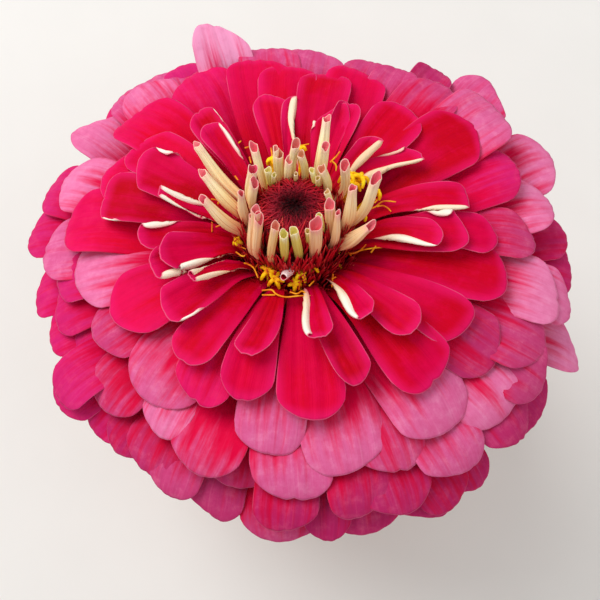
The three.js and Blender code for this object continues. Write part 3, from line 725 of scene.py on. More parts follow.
def rayShape(azimuth, width, length, index):
    usual = (ray["skew"] * drift(index, 19), 2.2 + 0.5 * drift(index, 11), 1)
    skew, power, depth = pointed.get(azimuth, usual)
    t = np.linspace(0, 1, ray["rows"])
    clawRows = np.linspace(-ray["clawShare"], 0, ray["clawRows"], endpoint=False)
    tipRound = depth * ray["tipRound"] * width / 2 / length * (1 + 0.2 * drift(index, 7))
    return {
        "across": spaced(ray["columns"], 1.3), "up": np.concatenate([clawRows, 1 - (1 - t) ** 1.25]),
        "length": length, "thickness": ray["thickness"], "tipRound": min(0.45, tipRound), "tipPower": power,
        "skew": skew, "side": oneSided.get(azimuth, 0), "twist": ray["twist"] * drift(index, 5),
        "notch": ray["notch"] * max(0, drift(index, 13)), "bow": ray["bow"] * drift(index, 17),
        "folds": [
            (*fold, rolled) for rolled, edges in ((False, turnedEdges), (True, rolledEdges))
            for at, *fold in edges if at == azimuth
        ],
    }


def rayFloret(parts, row, index):
    azimuth, ring, width, roll, tone = row[:5]
    stand = row[5] if len(row) > 5 else 0
    tipOut, tipUp, tipSlope, rootOut, rootUp, rootSlope, clawOut, clawUp = along(rings, ring)
    reach, lift = along(lopsided, azimuth)
    outer = smoothstep(ring, ray["looseFrom"], ray["looseTo"])
    tip = (tipOut * (1 + (reach - 1) * outer), tipUp + lift * outer + stand)
    tipSlope = tipSlope + 2 * lift * outer + 5 * stand + 6 * drift(index, 3)
    body = arch((rootOut, rootUp), math.radians(rootSlope), tip, math.radians(tipSlope))
    clawSlope = math.atan2(rootUp - clawUp, rootOut - clawOut)
    claw = arch((clawOut, clawUp), clawSlope, (rootOut, rootUp), math.radians(rootSlope))

    def line(s):
        s = np.asarray(s, float)
        below, above = claw(1 + np.minimum(s, 0) / ray["clawShare"]), body(np.maximum(s, 0))
        return np.where(s[..., None] < 0, below, above)

    broad = smoothstep(ring, ray["broadFrom"], ray["broadTo"])

    def halfWidth(s):
        return width / 2 * (smoothAlong(rayOutline, s) * (1 - broad) + smoothAlong(broadOutline, s) * broad)

    def rollAt(s):  # half as much at the root
        return math.radians(roll) * (0.5 + 0.5 * np.clip(s, 0, 1))

    sway = math.radians(swayed.get(azimuth, 0))

    def place(points):  # turned about the axis, more towards the root
        x, y, z = points[..., 0], points[..., 1], points[..., 2]
        turn = sway * smoothstep(np.hypot(x, y), tip[0], 8)
        c, s = np.cos(turn), np.sin(turn)
        return np.stack([x * c - y * s, x * s + y * c, z], axis=-1)

    seed = (index * golden) % 1
    length = math.hypot(tip[0] - rootOut, tip[1] - rootUp) * 1.08
    shape = {**rayShape(azimuth, width, length, index), "relief": rayRelief(seed)}
    blade(
        parts, line, math.radians(azimuth), halfWidth, rollAt, shape, place, tone=tone, seed=seed,
        cream=creamy.get(azimuth, 0), blush=blushed.get(azimuth, 0.02 + 0.1 * drift(index, 23)),
    )


def rayMaterial():
    surface = Surface("rayFloret")
    across, s, edge = surface.attributes("across", "along", "edge")
    tone, seed, under = surface.attributes("tone", "seed", "under")

    def stripes(wide, long, detail, roughness):  # noise that runs along the floret and fans out with it
        return surface.noise(surface.vector(across * wide + seed * 61, s * long, seed), 1, detail, roughness)
    streaks, veins, clouds = stripes(3.2, 1.3, 4, 0.62), stripes(15, 1.6, 3, 0.6), stripes(0.9, 1.5, 2, 0.5)
    brush = stripes(7, 1.1, 2, 0.5)
    mottle = surface.noise(surface.place(), 420, 5, 0.7)
    # the tip's own colour, and the crimson that runs out from the base in streaks. The darker stops about
    # tone 0.42 in both ramps are painted shade on the drooping outermost florets, over their deeper magenta.
    tip = tone.ramp(
        (0, 180, 0, 20), (0.12, 198, 0, 36), (0.2, 210, 0, 54), (0.32, 218, 10, 84), (0.37, 208, 34, 112),
        (0.42, 176, 36, 96), (0.5, 194, 62, 116), (0.6, 206, 82, 136), (0.75, 222, 112, 160),
        (0.95, 242, 164, 204),
    )
    base = tone.ramp(
        (0, 164, 0, 12), (0.12, 190, 0, 22), (0.32, 212, 0, 38), (0.37, 206, 0, 58), (0.42, 194, 0, 46),
        (0.6, 212, 0, 58), (0.78, 216, 4, 66), (0.95, 224, 40, 104),
    )
    rise = s + (streaks - 0.5) * 1.25 + (brush - 0.5) * 0.4 - surface.attribute("blush")
    share = rise.spread(0.36, 0.92)
    colour = surface.mix(share, base, tip)
    # a cooler cast on parts of the crimson, stronger towards the tip and the edges
    cast = clouds.spread(0.42, 0.62) * tone.spread(0.5, 0.1, 0, 0.8)
    colour = surface.mix(cast, colour, (200, 0, 64))
    margin = edge.spread(0, 2.4, 0.75, 0) * s.spread(0.25, 0.9)
    colour = surface.mix(margin * tone.spread(0.4, 0.28, 0.1, 1), colour, (220, 22, 98))
    colour = surface.mix(s.spread(0.34, -0.05, 0, 0.5), colour, (128, 0, 16))
    # veins and a fine mottling, plainer on the pale ones
    pale = tone.spread(0.25, 0.7) * share.spread(0, 1, 0.05, 1)
    light = surface.mix(pale, (228, 8, 84), (246, 170, 204))
    colour = surface.mix(veins.spread(0.5, 0.8) * 0.15, colour, light)
    colour = surface.mix(veins.spread(0.5, 0.25, 0, 0.12), colour, (160, 0, 50))
    colour = surface.mix(mottle.spread(0.45, 0.75) * 0.24, colour, light)
    colour = surface.mix(mottle.spread(0.5, 0.3, 0, 0.14), colour, (170, 0, 56))
    rim = edge.spread(0.02, 0.2, 1, 0) * (s + streaks * 0.4).spread(0.7, 1.1)
    colour = surface.mix(rim * 0.4, colour, (238, 126, 160))
    # the underside: white to cream on the inner ones, dull pink on the outer ones
    inner = (s * 0.7 + (streaks - 0.5) * 0.6).ramp(
        (0.05, 224, 150, 110), (0.25, 240, 208, 168), (0.5, 248, 238, 220), (0.8, 250, 240, 228),
    )
    outer = streaks.ramp((0.3, 206, 110, 148), (0.55, 230, 158, 182), (0.75, 240, 196, 206))
    inner = surface.mix(surface.attribute("cream") * 0.7, inner, (240, 200, 150))
    back = surface.mix(tone.spread(0.2, 0.5), inner, outer)
    back = surface.mix(edge.spread(0.05, 0.45, 1, 0) * 0.7, back, (232, 112, 136))
    colour = surface.mix(under.spread(0.78, 0.98), colour, back)
    height = veins * 0.7 + (streaks * 0.5 + mottle * 0.25)
    return surface.finish(colour, 0.6, surface.bump(height, 0.00022, 0.6), gloss=0.04)


def makeRays():
    material = rayMaterial()
    for name, low, high in ray["groups"]:
        parts = Parts()
        for index, row in enumerate(rayFlorets):
            if low <= row[1] < high:
                rayFloret(parts, row, index)
        settle(parts.object(name, material), "ray", "ray_florets")


makeRays()
print("ray florets are made")


# Chaff

def whorlTree(name, material):  # narrow scales on golden-angle points, from an inner ring to an outer one
    grow = Growth(name, Int=("Count", "Seed"), Float=(
        "Inner Radius", "Outer Radius", "Inner Height", "Outer Height", "Fall", "Inner Tilt", "Outer Tilt",
        "Length", "Inner Length", "Width", "Curl",
    ))
    ask = grow.ask
    index = grow.put("GeometryNodeInputIndex")
    share = ((index + 0.5) / ask("Count")) ** 0.5
    radius = share.between(ask("Inner Radius"), ask("Outer Radius"))
    height = (share ** ask("Fall")).between(ask("Inner Height"), ask("Outer Height"))
    angle = index * (math.pi * (3 - math.sqrt(5)))
    place = grow.vector(radius * angle.apply("COSINE"), radius * angle.apply("SINE"), height)
    points = grow.put("GeometryNodePoints", {"Count": ask("Count"), "Position": place})
    points = grow.remember(points, "share", share)
    # one scale: a four-sided spike, flattened, widest low down and curled over towards the middle
    spike = grow.put("GeometryNodeMeshCone", {
        "Vertices": 4, "Side Segments": 4, "Radius Top": 0.0, "Radius Bottom": 1.0, "Depth": 1.0,
    })
    x, y, up = grow.position()
    wide = ask("Width") * 0.5 * (up * (1.2 - up) * 2 + 0.55)
    bent = up * up * (ask("Curl") * -1)
    shaped = grow.vector(x * wide * 0.35 + bent, y * wide, up * ask("Length"))
    spike = grow.remember(spike, "up", up)
    spike = grow.put("GeometryNodeSetPosition", {"Geometry": spike, "Position": shaped})
    sway = grow.chance(-0.3, 0.3, 1)
    tilt = share.between(ask("Inner Tilt"), ask("Outer Tilt")) + grow.chance(-0.14, 0.14, 2)
    length = grow.chance(0.75, 1.2, 3) * share.between(ask("Inner Length"), 1)
    scales = grow.copies(points, spike, grow.turn(sway, tilt, angle + sway), grow.vector(1, 1, length))
    scales = grow.remember(scales, "seed", grow.chance(0, 1, 4), "INSTANCE")
    scales = grow.put("GeometryNodeRealizeInstances", {0: scales})
    x, y = grow.position()[:2]
    out = (x * x + y * y).apply("SQRT")
    return grow.end(grow.remember(scales, "out", out), material)


def chaffMaterial():
    surface = Surface("chaff")
    up, out, seed = surface.attributes("up", "out", "seed")
    red = (out * 0.11 + (seed - 0.5) * 0.34).ramp(
        (0.1, 40, 0, 8), (0.25, 100, 0, 18), (0.42, 148, 2, 30), (0.6, 176, 8, 34), (0.85, 204, 28, 46),
    )
    # the outer strands paler and pinker towards their tips: partly their own colour, partly a painted
    # highlight
    colour = surface.mix(up.spread(0.2, 0.9) * out.spread(1.5, 5, 0, 0.3), red, (208, 40, 74))
    return surface.finish(colour, 0.5, gloss=0.2)


def fringeMaterial():
    surface = Surface("redFringe")
    up, seed = surface.attributes("up", "seed")
    colour = (up * 0.55 + seed * 0.45).ramp(
        (0, 132, 0, 16), (0.35, 190, 6, 30), (0.7, 214, 20, 40), (1, 228, 96, 74),
    )
    return surface.finish(colour, 0.5, gloss=0.3)


chaff = {
    "crown": {  # over the top of the cone, tips drawn in to its dark middle
        "Count": 1000, "Inner Radius": 0.6, "Outer Radius": 6.9, "Inner Height": 21.6, "Outer Height": 23.8,
        "Fall": 0.8, "Inner Tilt": -0.7, "Outer Tilt": -1.25, "Length": 4.4, "Inner Length": 0.5,
        "Width": 0.38, "Curl": 0.6, "Seed": 3,
    },
    "shoulder": {  # round the edge of the crown
        "Count": 300, "Inner Radius": 5.8, "Outer Radius": 8, "Inner Height": 22.4, "Outer Height": 19.5,
        "Fall": 1, "Inner Tilt": -0.7, "Outer Tilt": 0.1, "Length": 3.8, "Inner Length": 1, "Width": 0.8,
        "Curl": 0.5, "Seed": 6,
    },
    "collar": {  # close round the feet of the tubes, up to their lower third
        "Count": 260, "Inner Radius": 8.7, "Outer Radius": 9.8, "Inner Height": 18.2, "Outer Height": 16.8,
        "Fall": 1, "Inner Tilt": -0.04, "Outer Tilt": 0.06, "Length": 4.9, "Inner Length": 1, "Width": 0.9,
        "Curl": -0.3, "Seed": 21,
    },
    "skirt": {  # ragged scales round the feet of the tubes
        "Count": 430, "Inner Radius": 8.5, "Outer Radius": 10.2, "Inner Height": 15.8, "Outer Height": 12.8,
        "Fall": 1, "Inner Tilt": 0, "Outer Tilt": 0.22, "Length": 4.7, "Inner Length": 1, "Width": 0.95,
        "Curl": -0.3, "Seed": 8,
    },
    "pit": {  # round the foot, among the open florets
        "Count": 320, "Inner Radius": 9.4, "Outer Radius": 11.6, "Inner Height": 12.4, "Outer Height": 10.4,
        "Fall": 1, "Inner Tilt": 0.1, "Outer Tilt": 0.3, "Length": 3.4, "Inner Length": 1, "Width": 1,
        "Curl": -0.3, "Seed": 12,
    },
}
cone = {  # the solid that the chaff stands on: out and up
    "profile": [
        (0, 8.4), (11, 8.4), (10.8, 10.4), (9.8, 12.4), (8.6, 15.6), (7.8, 18.6), (7, 21.4), (6, 23.4),
        (4.6, 23.6), (2.4, 22.6), (0, 21.4),
    ],
    "sides": 40,
}


def makeDisc():
    red, fringe = chaffMaterial(), fringeMaterial()
    body = lathe(cone["profile"], cone["sides"], up=0.1, out=2.4, seed=0.3)
    settle(body.object("discCone", red, poles=True), "maroon", "disc")
    for name, values in chaff.items():
        tree = whorlTree("chaffWhorl_" + name, red if name == "crown" else fringe)
        settle(grown("chaff_" + name, tree, values), "maroon", "disc")


makeDisc()
print("disc is made")


# Tube florets
# Rolled young ray florets. Each row: where the tip shows, its height, where the foot shows, its height, the
# radius, how young it is (-1 for a white curled one), and for some, the share of the radius left at the tip.
tubeFlorets = [
    (254, 147, 29, 261, 173, 24, 0.85, 0, 1), (276, 148.5, 28, 276, 163, 25, 0.55, 0.1, 1),
    (279, 154, 27, 279, 166, 24, 1, 0.3, 0.9), (296, 144, 30, 292, 166, 24.4, 0.85, 0.15),
    (289, 160.5, 27, 288, 172, 24.4, 0.7, 0.1), (301, 154, 28.5, 305, 169, 24.4, 0.75, 0.4),
    (327, 119, 31, 321, 165, 24, 1.35, 0, 0.62), (325.5, 146, 29.5, 323, 166, 24.6, 0.75, 0),
    (322, 168.5, 27.5, 328, 185, 23.4, 0.8, 0.35), (345, 165, 28, 344, 188, 21, 0.95, 0, 1),
    (353, 188, 28, 347, 223, 20, 1.2, 0, 0.6), (376.5, 178, 28, 361, 215, 20, 1.1, 0, 0.9),
    (330, 205, 28.5, 331, 233, 20.5, 1, 0), (338, 213, 28, 334.5, 241, 20.5, 0.85, 0, 0.6),
    (371, 226, 23, 346, 243, 18.5, 1.5, 0, 0.55), (316, 224.5, 29.5, 315, 254, 19.5, 1.15, 0),
    (275.5, 226, 28.5, 271, 258, 19.5, 0.85, 0.25), (256, 210, 29.5, 256.5, 238, 22, 0.9, 0),
    (259, 218, 28.5, 257, 253, 19.5, 0.95, 0), (251, 216, 27.5, 252, 251, 19.5, 0.75, 0, 0.6),
    (241, 193, 28, 244, 214, 22, 1, 0, 0.6), (253, 169, 29.5, 250, 193, 23.5, 0.95, 0),
    (254.5, 182, 28.5, 252, 201, 23, 0.85, 0), (203, 173, 26.5, 226, 200, 22, 1.25, 0, 0.62),
    (203, 199, 26, 226, 222, 21, 1.25, 0, 0.62), (197, 145, 24, 223, 180, 19, 1.2, 0, 0.7),
    (284, 277, 18, 291, 268, 15, 1.35, -1, 0.56), (292.5, 271.5, 17.6, 290, 268, 15, 0.95, -1, 0.3),
]
youngFlorets = [  # still green, between the others on the inside
    (268, 170, 26.5, 270, 181, 23.6, 0.7, 1), (274, 175, 26, 273, 182, 23.6, 0.5, 1),
    (312, 170, 26.5, 315, 182, 23.6, 0.62, 1), (318, 178, 26, 318, 185, 23.4, 0.5, 0.8),
    (319, 216, 27.5, 321, 225, 24, 0.65, 1), (308, 231, 27, 309, 238, 23.6, 0.55, 0.9),
    (284, 234, 28, 285, 256, 20, 0.95, 1, 0.9), (294, 231, 28, 299, 255, 20, 0.95, 1, 0.9),
    (327, 192, 26, 331, 204, 23, 0.6, 0.7), (296, 174, 26, 296, 179, 24, 0.4, 0.7),
]
tube = {
    "rootOut": 7, "rootUp": 15, "sides": 26, "rows": 15, "wall": 0.18, "slant": 0.75, "seamStep": 0.16,
    "profile": [(0, 0.6), (0.25, 0.76), (0.5, 0.9), (0.75, 0.96), (0.92, 0.95), (1, 0.97)], "mouth": 0.97,
}


def tubeFloret(parts, row, index):
    tip, foot, (radius, young) = seen(*row[:3]), seen(*row[3:6]), row[6:8]
    mouth = row[8] if len(row) > 8 else tube["mouth"]
    rootUp = min(tube["rootUp"], foot[2] - 3)
    root = np.append(foot[:2] * tube["rootOut"] / math.hypot(foot[0], foot[1]), rootUp)
    path = pathThrough(np.array([root, foot, tip]), tube["rows"])
    ahead = unit(np.gradient(path, axis=0))
    share = np.linspace(0, 1, tube["rows"])
    narrowing = 1 - (1 - mouth / tube["mouth"]) * smoothstep(share, 0.5, 1)
    outer = smoothAlong(tube["profile"], share) * radius * narrowing
    wall, end = tube["wall"], outer[-1]
    inside = [  # past the rim: radius, height over the tip, share of the length, and how far inside
        (end - wall * 0.4, 0.12, 1, 0.5), (end - wall, 0, 1, 1), (end - wall * 1.1, -0.7 * radius, 0.97, 1),
        (end * 0.6, -1.3 * radius, 0.9, 1), (0, -1.5 * radius, 0.85, 1),
    ]
    inner, heights, insideShares, insideness = (np.array(column, float) for column in zip(*inside))
    radii = np.concatenate([[0], outer, np.maximum(inner, 0)])
    middle = np.concatenate([path[:1], path, tip + ahead[-1] * heights[:, None]])
    ahead = np.concatenate([ahead[:1], ahead, np.repeat(ahead[-1:], len(inside), axis=0)])
    shares = np.concatenate([[0], share, insideShares])[:, None]
    within = np.concatenate([np.zeros(1 + tube["rows"]), insideness])[:, None]
    # the mouth's high side is away from the axis and the front, so that the low side shows the inside
    high = unit(np.array([0.6 * tip[0] / math.hypot(tip[0], tip[1]) if young >= 0 else 0.5, 1, 0]))
    high = unit(high - ahead * (ahead @ high)[:, None])
    aside = np.cross(ahead, high)
    # the skin: a lumpy round that steps at its seam, with a ragged, slanted mouth
    seed = (index * golden) % 1
    phi = np.linspace(0, 2 * math.pi, tube["sides"], endpoint=False)
    seam = math.pi + 0.9 * drift(index, 7)
    around = ((phi - seam) / (2 * math.pi)) % 1
    lumps = 1 + 0.07 * np.cos(2 * phi + seed * 9) + 0.045 * np.cos(5 * phi + seed * 23)
    ring = radii[:, None] * (lumps * (1 + tube["seamStep"] * (around - 0.5)))[None, :]
    slant = tube["slant"] * (1 + 0.4 * drift(index, 3)) * (1 - 0.6 * min(1, abs(young)))
    ragged = slant * np.cos(phi) + 0.24 * np.sin(2 * phi + seed * 31) + 0.2 * np.sin(3 * phi + seed * 57)
    lifted = ragged[None, :] * end * (shares ** 8)
    points = (
        middle[:, None, :] + high[:, None, :] * (ring * np.cos(phi))[..., None]
        + aside[:, None, :] * (ring * np.sin(phi))[..., None] + ahead[:, None, :] * lifted[..., None]
    )
    skin(
        parts, points, up=shares, inside=within, around=around[None, :], young=max(0, young),
        white=max(0, -young), seed=seed, front=smoothstep(-tip[1], -6, 6),
    )


def tubeMaterial():
    surface = Surface("tubeFloret")
    up, inside, around, young = surface.attributes("up", "inside", "around", "young")
    seed, white, front = surface.attributes("seed", "white", "front")
    lines = surface.noise(surface.cylinder(around, 4.5, up * 1.2 + seed * 40), 1, 3, 0.6)
    height = up + (lines - 0.5) * 0.6
    # both ramps darker and redder at the foot: a reddish foot, with painted shade among the chaff
    cream = height.ramp(
        (0.1, 222, 126, 90), (0.35, 250, 200, 140), (0.65, 255, 232, 172), (0.88, 255, 238, 194),
        (1, 252, 206, 182),
    )
    shadedPeach = height.ramp(
        (0.1, 206, 96, 80), (0.35, 234, 164, 122), (0.65, 246, 200, 146), (0.88, 250, 208, 160),
        (1, 242, 166, 154),
    )
    lime = height.ramp((0.1, 180, 150, 60), (0.5, 214, 198, 84), (0.85, 230, 220, 110), (1, 246, 242, 190))
    # the tubes at the front take the darker, pinker copy: partly their own peach, partly painted shade on the
    # side away from the key lamp
    colour = surface.mix(young, surface.mix(front, cream, shadedPeach), lime)
    colour = surface.mix(lines.spread(0.5, 0.32, 0, 0.5), colour, (206, 138, 84))
    colour = surface.mix(lines.spread(0.56, 0.74, 0, 0.6), colour, (255, 240, 196))
    curled = height.ramp((0.3, 226, 130, 140), (0.7, 248, 214, 212), (1, 250, 236, 232))
    colour = surface.mix(white, colour, curled)
    pink = (lines * 0.5 + seed * 0.6).ramp((0.2, 234, 96, 112), (0.55, 236, 120, 128), (0.9, 222, 56, 96))
    pink = surface.mix(young, pink, (232, 218, 130))
    pink = surface.mix(white, pink, (206, 10, 50))
    colour = surface.mix(inside.spread(0.55, 0.95), colour, pink)
    rim = inside.spread(0.05, 0.5) * inside.spread(0.95, 0.6)
    colour = surface.mix(rim * 0.6, colour, (246, 196, 190))
    seam = (around - 0.5).apply("ABSOLUTE").spread(0.47, 0.5)
    colour = surface.mix(seam * 0.35, colour, (196, 92, 84))
    return surface.finish(colour, 0.55, surface.bump(lines, 0.0002, 0.5), gloss=0.15)


def makeTubes():
    parts = Parts()
    for index, row in enumerate(tubeFlorets + youngFlorets):
        tubeFloret(parts, row, index)
    settle(parts.object("tubeFlorets", tubeMaterial(), poles=True), "cream", "tube_florets")


makeTubes()
print("tube florets are made")


# Open disc florets and threads
# Yellow ones with five curled lobes on a short stalk. Each row: where it shows, its height and its size.
openFlorets = [
    (350, 173, 21.5, 1.15), (362, 176, 21, 1.25), (353, 182, 21, 1.1), (377.5, 190, 19, 0.9),
    (345, 186, 20.5, 0.8), (268, 270, 16.6, 1.05), (275, 278, 16, 1), (301, 272, 16.6, 0.9),
    (310, 264, 17.2, 1.05), (295, 283, 15.4, 0.7), (272, 158, 21, 0.7), (302, 146, 22, 0.5),
    (364, 214, 16.5, 0.6), (237, 240, 16, 0.6), (332, 250, 16, 0.7),
]
# Orange threads, each with its height at both ends and the places that it passes.
threads = [
    (15.6, 15.6, [(262, 290.5), (272, 290.5), (276, 294), (285, 296.5), (300, 296.5), (313, 296)]),
    (15.6, 15.4, [(262, 295), (275, 295)]),
    (15.6, 15.8, [(290, 292), (297, 294.5), (302, 291.5), (307, 294.5)]),
    (16, 15.5, [(244, 263), (249, 264), (254, 269), (258, 278)]),
    (15.6, 16.4, [(254, 269), (258, 264), (262, 262)]), (17, 16, [(264, 258), (266, 268)]),
    (17.5, 16.5, [(289.5, 257), (289.5, 267)]), (15.4, 14.4, [(291, 280), (294, 289)]),
    (16, 14.4, [(300, 281), (299, 290)]), (15.5, 17.5, [(331, 256), (333, 250), (335, 245)]),
    (16, 17.5, [(332.5, 253), (337.5, 249), (340, 244)]), (15, 14.5, [(333, 274), (332, 287)]),
    (15, 15.5, [(332, 279), (336, 277)]),
    (14.5, 15.5, [(344, 253.5), (354, 253), (360, 250), (368, 249.5), (376, 248), (386, 247)]),
    (15, 16, [(361, 250), (366, 244.5)]), (15, 16, [(371, 252.5), (376, 246)]),
    (14.6, 15, [(346, 250), (351, 255.5)]),
    (17.5, 17, [(368, 199), (368.5, 207), (366, 212), (361, 215.5)]), (17, 17, [(361, 215.5), (366, 217)]),
    (18, 18, [(371.5, 200), (374.5, 198.8), (377, 200.6), (374.5, 203)]),
    (16.5, 17.5, [(370, 209), (376, 206), (382, 202.5), (388, 201.5), (396, 202)]),
    (16.8, 16.8, [(377, 206.5), (383, 205.5), (388, 207.5), (391, 211.5)]),
    (20.5, 21, [(330, 162.5), (336, 156.5), (340, 151.5)]),
    (20.6, 20, [(332, 161), (336, 165.5), (336, 171)]), (22, 22, [(300, 146), (309, 144)]),
    (20.5, 21, [(245, 148), (250, 146.5)]), (20, 20, [(249.5, 157), (251, 163)]),
    (20, 20, [(238.5, 143), (241, 141)]), (18, 18, [(235, 176), (238, 180)]),
    (21, 20.5, [(271, 148), (272, 157), (269, 162)]), (16, 16, [(212, 222), (212, 232)]),
    (16, 15.5, [(193, 228), (200, 229), (207, 229)]), (16.5, 17, [(216, 227), (221, 225)]),
    (17, 16.5, [(236.5, 227), (239.5, 233)]), (16.5, 16.8, [(234, 242), (238, 238)]),
    (17, 17, [(211, 199), (218, 200), (218, 204)]), (16.5, 16.5, [(240, 247), (246, 249)]),
    (15.5, 15.8, [(236, 252), (243, 256), (247, 254)]), (15.4, 15.4, [(309, 286), (314, 281)]),
    (16, 16, [(322, 262), (326, 258), (330, 260)]), (17, 17, [(342, 236), (348, 238)]),
]
sweeps = {
    "lobes": {"Radius": 0.42, "Taper": 0.4, "Sides": 8},
    "stalks": {"Radius": 0.4, "Taper": -0.6, "Sides": 8},
    "threads": {"Radius": 0.17, "Taper": 0.25, "Sides": 6},
}


def sweepTree(material):  # a round bar along each path, its ends closed, thinner towards the end
    grow = Growth("barsAlongPaths", Float=("Radius", "Taper"), Int=("Sides",))
    ask = grow.ask
    share = grow.put("GeometryNodeSplineParameter", output="Factor")
    radius = 1 - share ** 2 * ask("Taper")
    curve = grow.put("GeometryNodeMeshToCurve", {0: ask("Geometry")})
    curve = grow.put("GeometryNodeSetCurveRadius", {"Curve": curve, "Radius": radius})
    ring = grow.put("GeometryNodeCurvePrimitiveCircle", {"Resolution": ask("Sides"), "Radius": ask("Radius")})
    inputs = {"Curve": curve, "Profile Curve": ring, "Fill Caps": True}
    made = grow.add("GeometryNodeCurveToMesh", inputs)
    if "Scale" in made.inputs:
        grow.wire(made, {"Scale": radius})
    return grow.end(Wired(grow, made.outputs[0]), material)


def pathsObject(name, paths):  # polylines as a mesh of edges
    points = [tuple(point) for path in paths for point in path]
    edges, first = [], 0
    for path in paths:
        edges += [(first + k, first + k + 1) for k in range(len(path) - 1)]
        first += len(path)
    mesh = bpy.data.meshes.new(name)
    mesh.from_pydata(points, edges, [])
    return linked(name, mesh)


def curledPath(start, heading, bend, length, steps=9):  # a path whose heading turns evenly
    point, heading = np.array(start, float), unit(np.array(heading, float))
    path = [point]
    for _ in range(steps):
        heading = unit(heading + np.array(bend) / steps)
        point = point + heading * length / steps
        path.append(point)
    return path


def openFloretPaths():  # the lobes and the stalks
    lobes, stalks = [], []
    for index, (x, y, up, size) in enumerate(openFlorets):
        top = seen(x, y, up)
        out = np.append(top[:2] / math.hypot(top[0], top[1]), 0)
        foot = out * 10.4 + np.array([0, 0, 11])
        stalks.append(pathThrough(np.array([foot, (foot + top) / 2 - 0.4 * out, top]), 7))
        axis = unit(stalks[-1][-1] - stalks[-1][-2])
        first = unit(np.cross(axis, [0, 0, 1.0]) + 1e-6)
        second = np.cross(axis, first)
        for k in range(5):
            odd = drift(index * 5 + k, 5)
            angle = 2 * math.pi * (k + 0.3 * odd) / 5 + index
            side = first * math.cos(angle) + second * math.sin(angle)
            start = top + side * 0.3 * size - axis * 0.3
            bend = side * 1.4 - axis * (3.8 + 1.6 * odd) + first * 1.4 * odd
            lobes.append(curledPath(start, axis + side * 0.7, bend, (2 + 0.5 * odd) * size))
    return lobes, stalks


def threadPaths():
    paths = []
    for index, (low, high, places) in enumerate(threads):
        heights = np.linspace(low, high, len(places))
        points = np.array([seen(x, y, up) for (x, y), up in zip(places, heights)])
        points[1:-1, 2] += 0.3 * np.array([drift(index * 7 + k, 3) for k in range(len(places) - 2)])
        paths.append(pathThrough(points, 6 * len(places)))
    return paths


def starMaterial():
    surface = Surface("yellowFloret")
    grain = surface.noise(surface.place(), 700, 3)
    colour = grain.ramp((0.3, 236, 140, 0), (0.48, 252, 196, 0), (0.65, 255, 226, 16))
    return surface.finish(colour, 0.6, surface.bump(grain, 0.0002, 0.5), gloss=0.2)


def threadMaterial():
    surface = Surface("orangeThread")
    grain = surface.noise(surface.place(), 500, 2)
    colour = grain.ramp((0.35, 214, 100, 8), (0.5, 240, 150, 14), (0.65, 250, 190, 40))
    return surface.finish(colour, 0.5, gloss=0.2)


def makeOpenFlorets():
    lobes, stalks = openFloretPaths()
    yellow, orange = starMaterial(), threadMaterial()
    for name, paths, material in (
        ("lobes", lobes, yellow), ("stalks", stalks, yellow), ("threads", threadPaths(), orange),
    ):
        made = grown(name, sweepTree(material), sweeps[name], base=pathsObject(name, paths))
        settle(made, "yellow", "disc_florets")


makeOpenFlorets()
print("open florets and threads are made")


# Involucre: the green cup of bracts, and the receptacle that the florets grow from
bract = {
    "rows": 4, "count": 9, "columns": 13, "steps": 12, "sides": 48, "rise": 38, "fall": 80, "roll": 0.8,
    "low": (6.6, -20.8), "lowStep": (2.1, 2.3), "high": (12.2, -15.4), "highStep": (1.15, 2.55),
    "thickness": 0.5,
}
cup = [(0, -22), (2.9, -22), (4.6, -21.6), (8.4, -19.8), (11.8, -16), (13.2, -12), (13.4, -8.3), (0, -8.3)]
receptacle = [
    (0, -8.3), (13.6, -8.3), (14.2, -6), (14, -1), (13, 4), (11.6, 8), (10.8, 10.4), (10, 11), (0, 10.6),
]


def ringTree(material):  # one piece repeated round the axis
    grow = Growth("ringOfPieces", Object=("Piece",), Int=("Count", "Seed"), Float=("Phase",))
    ask = grow.ask
    index = grow.put("GeometryNodeInputIndex")
    angle = (index + ask("Phase")) / ask("Count") * (2 * math.pi) + grow.chance(-0.07, 0.07)
    points = grow.put("GeometryNodePoints", {"Count": ask("Count")})
    piece = grow.put("GeometryNodeObjectInfo", {"Object": ask("Piece")}, output="Geometry")
    size = grow.chance(0.97, 1.03, 5)
    pieces = grow.copies(points, piece, grow.turn(0, 0, angle), grow.vector(size, size, size))
    return grow.end(grow.remember(pieces, "seed", grow.chance(0, 1, 9), "INSTANCE"), material)


def bractMaterial():
    surface = Surface("bract")
    along, across, edge, seed = surface.attributes("along", "across", "edge", "seed")
    lines = surface.noise(surface.vector(across * 9, along * 1.2, seed * 30), 1, 3, 0.6)
    green = (along * 0.6 + lines * 0.5).ramp(
        (0.1, 96, 124, 58), (0.5, 118, 146, 74), (0.8, 146, 164, 96), (1, 158, 150, 96),
    )
    ragged = edge + (lines - 0.5) * 1.6
    rim = ragged.spread(0.95, 0.45) * along.spread(0.4, 0.6, 0, 0.9)
    colour = surface.mix(rim, green, (54, 30, 24))
    return surface.finish(colour, 0.6, surface.bump(lines, 0.0003, 0.6), gloss=0.3)


def receptacleMaterial():
    surface = Surface("receptacle")
    mottle = surface.noise(surface.place(), 300, 3)
    return surface.finish(surface.mix(mottle, (84, 0, 16), (128, 10, 30)), 0.7)


def bractPiece(row):
    low = [start + step * row for start, step in zip(bract["low"], bract["lowStep"])]
    high = [start + step * row for start, step in zip(bract["high"], bract["highStep"])]
    shape = {
        "across": spaced(bract["columns"], 1.3), "up": 1 - (1 - np.linspace(0, 1, bract["steps"])) ** 1.2,
        "tipRound": 0.55, "tipPower": 2, "length": 8, "thickness": bract["thickness"],
        "relief": lambda u, s: 0.12 * np.cos(5 * math.pi * u) * smoothstep(s, 0, 0.5) * (1 - u * u),
    }
    line = arch(low, math.radians(bract["rise"]), high, math.radians(bract["fall"]))
    piece = Parts()
    blade(
        piece, line, 0, lambda s: 2.4 + 2.6 * np.sqrt(np.clip(s, 0, 1)),
        lambda s: np.full_like(s, bract["roll"]), shape,
    )
    return piece.object("bractPiece", world=lambda points: points)


